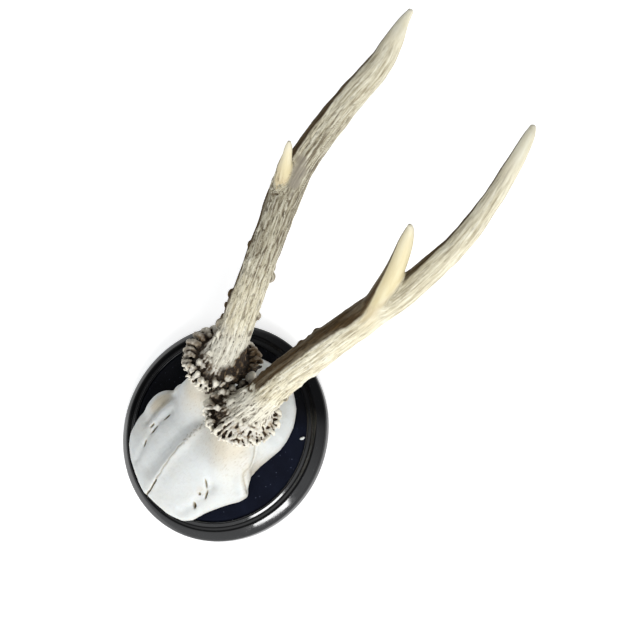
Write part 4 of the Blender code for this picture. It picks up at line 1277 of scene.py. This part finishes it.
def flow_coordinates(points, stem, index, length, sides=None):
    """Length along the stem, offset from its middle along two sides, and the way out of it."""
    tangents, *frame_sides = frames_along(stem[:, :3])
    if sides is None:
        sides = [side[index] for side in frame_sides]
    offset = points - stem[index, :3]
    rise = np.sum(offset * tangents[index], axis=1)
    around = np.stack([np.sum(offset * side, axis=1) for side in sides], axis=1)
    outward = offset - tangents[index] * rise[:, None]
    away = np.linalg.norm(outward, axis=1)[:, None].clip(1e-6)
    return length[index] + rise, around, outward / away


def press_burr(skin, antler, on_ring):
    """Presses the burr against the wavy sheet where it meets the other one; 1 where it does."""
    sign = 1.0 if antler is LEFT else -1.0
    normal = unit(CONTACT_NORMAL) * sign
    wave = 0.9 * skin.noise((0.0, 0.30, 0.30), 91) + 0.4 * skin.noise((0.0, 0.8, 0.8), 92)
    depth = (skin.points - np.array(CONTACT_POINT)) @ normal + BURR_HALF_GAP + wave * sign
    skin.points -= (np.maximum(depth, 0.0) * (on_ring > 0.0))[:, None] * normal
    return smooth(-0.5, 0.3, depth) * (on_ring > 0.0)


def lines(flow, size, seed, width):
    """1 on thin lines that run along the stem, 0 beside them."""
    return smooth(width, 0.0, np.abs(noise(flow * size, seed)))


def along_beam(antler, key, along):
    """A value that the antler's table gives at some lengths along the beam."""
    return np.interp(along, *np.array(antler[key]).T)


def make_antler(side, antler):
    seed = antler["seed"]
    rng = np.random.default_rng(seed)
    beam, tine = (curve_through(antler[stem], STEM_STEP) for stem in ("beam", "tine"))
    shapes = [tube(beam[:, :3], beam[:, 3].clip(0.5), 40),
              tube(tine[:, :3], tine[:, 3].clip(0.45), 32),
              burr_core(antler), burr_foot(antler), *burr_ribs(antler, rng),
              *burr_pearls(antler, rng), *beam_pearls(beam[:, :3], beam[:, 3], rng),
              *knobs(antler, beam[:, :3])]
    obj = fused(f"{side}_antler_grown", shapes, VOXEL)
    skin = Skin(obj)

    # Where each point is: over the burr, on the beam or on the tine
    height = (skin.points - np.array(antler["burr"])) @ unit(antler["axis"])
    index, tine_index = (nearest_on(stem[:, :3], skin.points) for stem in (beam, tine))
    beam_gap, tine_gap = (skin.gap(near[:, :3]) - near[:, 3]
                          for near in (beam[index], tine[tine_index]))
    on_ring = np.maximum(smooth(9.0, 3.0, height),
                         smooth(16.0, 9.0, height) * smooth(1.5, 3.0, beam_gap))
    off_ring = 1.0 - on_ring
    fork = np.exp(-((beam_gap**2 + tine_gap**2) / 12.0))
    skin.soften(16, fork * smooth(30.0, 50.0, index * STEM_STEP))
    grown = smooth(9.0, 3.0, skin.gap(antler["tine_foot"]))
    skin.soften(60, grown)
    skin.relax(2)
    on_tine = smooth(1.5, -1.5, tine_gap - beam_gap)

    # Furrows follow the beam. Over the tine's foot they run on, and don't cross it as it swells.
    length, tine_length = lengths_along(beam), lengths_along(tine)
    along, around, outward = flow_coordinates(skin.points, beam, index, length)
    root_index = nearest_on(beam[:, :3], tine[:1, :3])
    root = flow_coordinates(tine[:1, :3], beam, root_index, length)
    sides = [frame_sides[root_index[0]] for frame_sides in frames_along(beam[:, :3])[1:]]
    own = flow_coordinates(skin.points, tine, tine_index, tine_length, sides)
    reach = np.linalg.norm(around, axis=1).clip(1e-6)
    around = around * (1.0 - (1.0 - np.minimum(beam[index, 3] / reach, 1.0)) * off_ring)[:, None]
    turned = on_tine * smooth(8.0, 26.0, own[0])
    along = along * (1.0 - turned) + (own[0] + root[0]) * turned
    around = around * (1.0 - turned[:, None]) + (own[1] + root[1]) * turned[:, None]
    outward = outward * (1.0 - on_tine[:, None]) + own[2] * on_tine[:, None]
    flow = np.column_stack([around, along * 0.05])

    tine_left_over = tine_length[-1] - tine_length[tine_index]
    lean = antler["tine_lean"] * outward[:, 0] + 9.0 * noise(flow * (0.8, 0.8, 1.0), seed + 12)
    polish = np.maximum(smooth(*antler["polish"], length[-1] - length[index]) * (1.0 - on_tine),
                        smooth(*antler["tine_polish"], tine_left_over - lean) * on_tine)
    web = highest(smooth(size, 0.4 * size, skin.gap(place)) for *place, size in antler["web"])
    web = web * (1.0 - on_tine)
    coarse = (1.0 - polish) * (1.0 - 0.85 * web) * along_beam(antler, "rough", along) * off_ring

    grooves = lines(flow, 0.34, seed, 0.07)
    fine = lines(flow, (0.85, 0.85, 1.8), seed + 1, 0.14)
    dashes = smooth(0.36, 0.14, cells(np.column_stack([around * 0.6, along * 0.13]), seed + 3))
    relief = coarse * (0.30 * noise(flow * (0.9, 0.9, 1.6), seed + 6) - 0.26 * grooves - 0.20 * fine
                       - 0.22 * dashes)
    relief += (1.0 - polish) * off_ring * 0.30 * skin.noise(0.14, seed + 2) - 0.05 * off_ring
    relief += on_ring * (0.30 * skin.noise(0.45, seed + 4) + 0.22 * skin.noise(1.0, seed + 5))
    skin.raise_by(relief)
    pressed = press_burr(skin, antler, on_ring)

    # What the material reads: hollows, clean pearls, brown knobs, and where shade and highlights
    # are painted
    hollow, small, large = skin.hollows(6), skin.hollows(24), skin.hollows(110)
    hollow = 1.1 * hollow + 0.3 * small
    across, front = burr_axes(antler)[1:]
    offset = skin.points - np.array(antler["burr"])
    u, v = offset @ across, offset @ front
    turn, radius = np.degrees(np.arctan2(v, u)), np.hypot(u, v)
    moat = moat_share(antler, turn)
    upper = smooth(0.0, 3.0, height) * (1.0 - moat) * on_ring
    bumps = 0.3 * skin.noise(0.9, seed + 11)
    knobbed = highest(smooth(1.6, 0.9, skin.gap(place) / size + bumps)
                      for *place, size in antler["knobs"])
    pale_share = highest(share * smooth(1.8, 1.2, skin.gap(place) / size)
                    for *place, size, share in antler["white"])
    # The side turned from the window gets painted shade over a brown stain, held back by these
    # limits
    at_tip, less = antler["tine_band"]
    limit = (along_beam(antler, "band", along) * (1.0 - on_tine)
             + (at_tip - less * tine_left_over) * on_tine)
    limit = limit + 0.05 * skin.noise(0.25, seed + 8) + 0.02 * skin.noise(1.2, seed + 9)
    facing = outward @ unit((-0.99, 0.04, 0.07)) - limit
    tone = along_beam(antler, "tone", along)
    tone += along_beam(antler, "cream", along) * smooth(0.32, 0.08, np.abs(facing + 0.14))
    inner = radius + 1.2 * skin.noise(0.35, seed + 10)
    # Painted shade of the moats, the burrs' contact and the browned angles, with the real brown of
    # the knobs
    soil = highest([
        moat * smooth(18.8, 16.0, radius) * smooth(8.6, 12.2, inner) * smooth(12.5, 7.0, height),
        0.75 * knobbed, pressed,
        *(amount * between(start, end, turn, 14.0) * smooth(top, top - 5.0, height)
          * smooth(low, low + 3.5, inner) for start, end, amount, low, top in antler["browned"])])
    skin.attributes(
        along=along, around_x=around[:, 0], around_y=around[:, 1], ring=on_ring, tine=on_tine,
        foot=np.maximum(on_ring, smooth(34.0, 18.0, along)), coarse=coarse, polish=polish,
        web=0.85 * web, groove=coarse * highest([grooves, 0.75 * fine, 0.8 * dashes]),
        hollow=np.where(hollow > 0.0, hollow * (1.0 - 0.75 * upper), hollow),
        valley=2.8 * small + 0.4 * large - 1.2 * pale_share - 0.45 * upper - 0.35 * grown,
        tone=tone.clip(0.0, 1.0), soil=soil * (1.0 - pale_share), pressed=pressed * (1.0 - pale_share),
        stain=smooth(-0.02, 0.16, facing) * (1.0 - 0.7 * on_ring) * (1.0 - pale_share))
    finish_with(obj, horn(seed))
    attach(obj, "root")
    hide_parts(f"{side}_antler", f"{side}_front_tine")


# ---------- camera, light and floor
def make_stage():
    data = bpy.data.cameras.new("camera")
    data.lens, data.sensor_width = FOCAL_LENGTH, SENSOR
    data.clip_start, data.clip_end = 0.01, 20.0
    camera = bpy.data.objects.new("camera", data)
    turn = Matrix((CAMERA_RIGHT, CAMERA_UP, CAMERA_BACK)).transposed().to_4x4()
    camera.matrix_world = Matrix.Translation(Vector(CAMERA_PLACE) * MM) @ turn

    size = FLOOR_SIZE / 2
    corners = [(-size, -size, 0), (size, -size, 0), (size, size, 0), (-size, size, 0)]
    floor = add_mesh("floor", corners, [(0, 1, 2, 3)])
    finish_with(floor, paper_floor())

    lamp = bpy.data.lights.new("window", "AREA")
    lamp.shape, lamp.energy = "RECTANGLE", WINDOW_POWER
    lamp.size, lamp.size_y = (side * MM for side in WINDOW_SIZE)
    window = bpy.data.objects.new("window", lamp)
    window.location = Vector(WINDOW_FROM).normalized() * WINDOW_DISTANCE * MM
    window.rotation_euler = window.location.to_track_quat("Z", "Y").to_euler()

    scene = bpy.context.scene
    for obj in (camera, window):
        scene.collection.objects.link(obj)
    scene.camera = camera
    scene.world = bpy.data.worlds.new("studio")
    scene.view_settings.view_transform = "Standard"

    n = Nodes(scene.world)
    sky, sheet = n.tree.nodes["Background"], n.tree.nodes["World Output"]
    way = n.node("SeparateXYZ", {0: n.node("TexCoord").outputs["Generated"]}).outputs
    strength = n.span(way["X"], SKY_LEFT[0], SKY_RIGHT[0], SKY_LEFT[1], SKY_RIGHT[1], "LINEAR")
    for axis, (start, full, share) in (("Z", CEILING), ("Y", DARK_BACK)):
        strength = n.times(strength, n.span(way[axis], start, full, 1.0, share, "LINEAR"))
    n.put(sky.inputs["Strength"], strength)
    n.put(sky.inputs["Color"], (0.97, 0.985, 1.0, 1.0))
    # What the camera sees past the floor
    backdrop = n.node("Background", {"Color": (0.97, 0.97, 0.97, 1.0)})
    ray = n.node("LightPath").outputs["Is Camera Ray"]
    seen = n.node("MixShader", {0: ray, 1: sky.outputs[0], 2: backdrop.outputs[0]})
    n.put(sheet.inputs["Surface"], seen.outputs[0])


make_stage()
make_plaque()
make_felt()
make_crumb()
make_skull()
make_antler("left", LEFT)
make_antler("right", RIGHT)
metal = steel()
for node in ("skull_screw_left", "skull_screw_right", "hanger_plate", "hanger_screw_left",
             "hanger_screw_right"):
    finish_with(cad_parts[node], metal)
    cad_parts[node].data.set_sharp_from_angle(angle=math.radians(35))
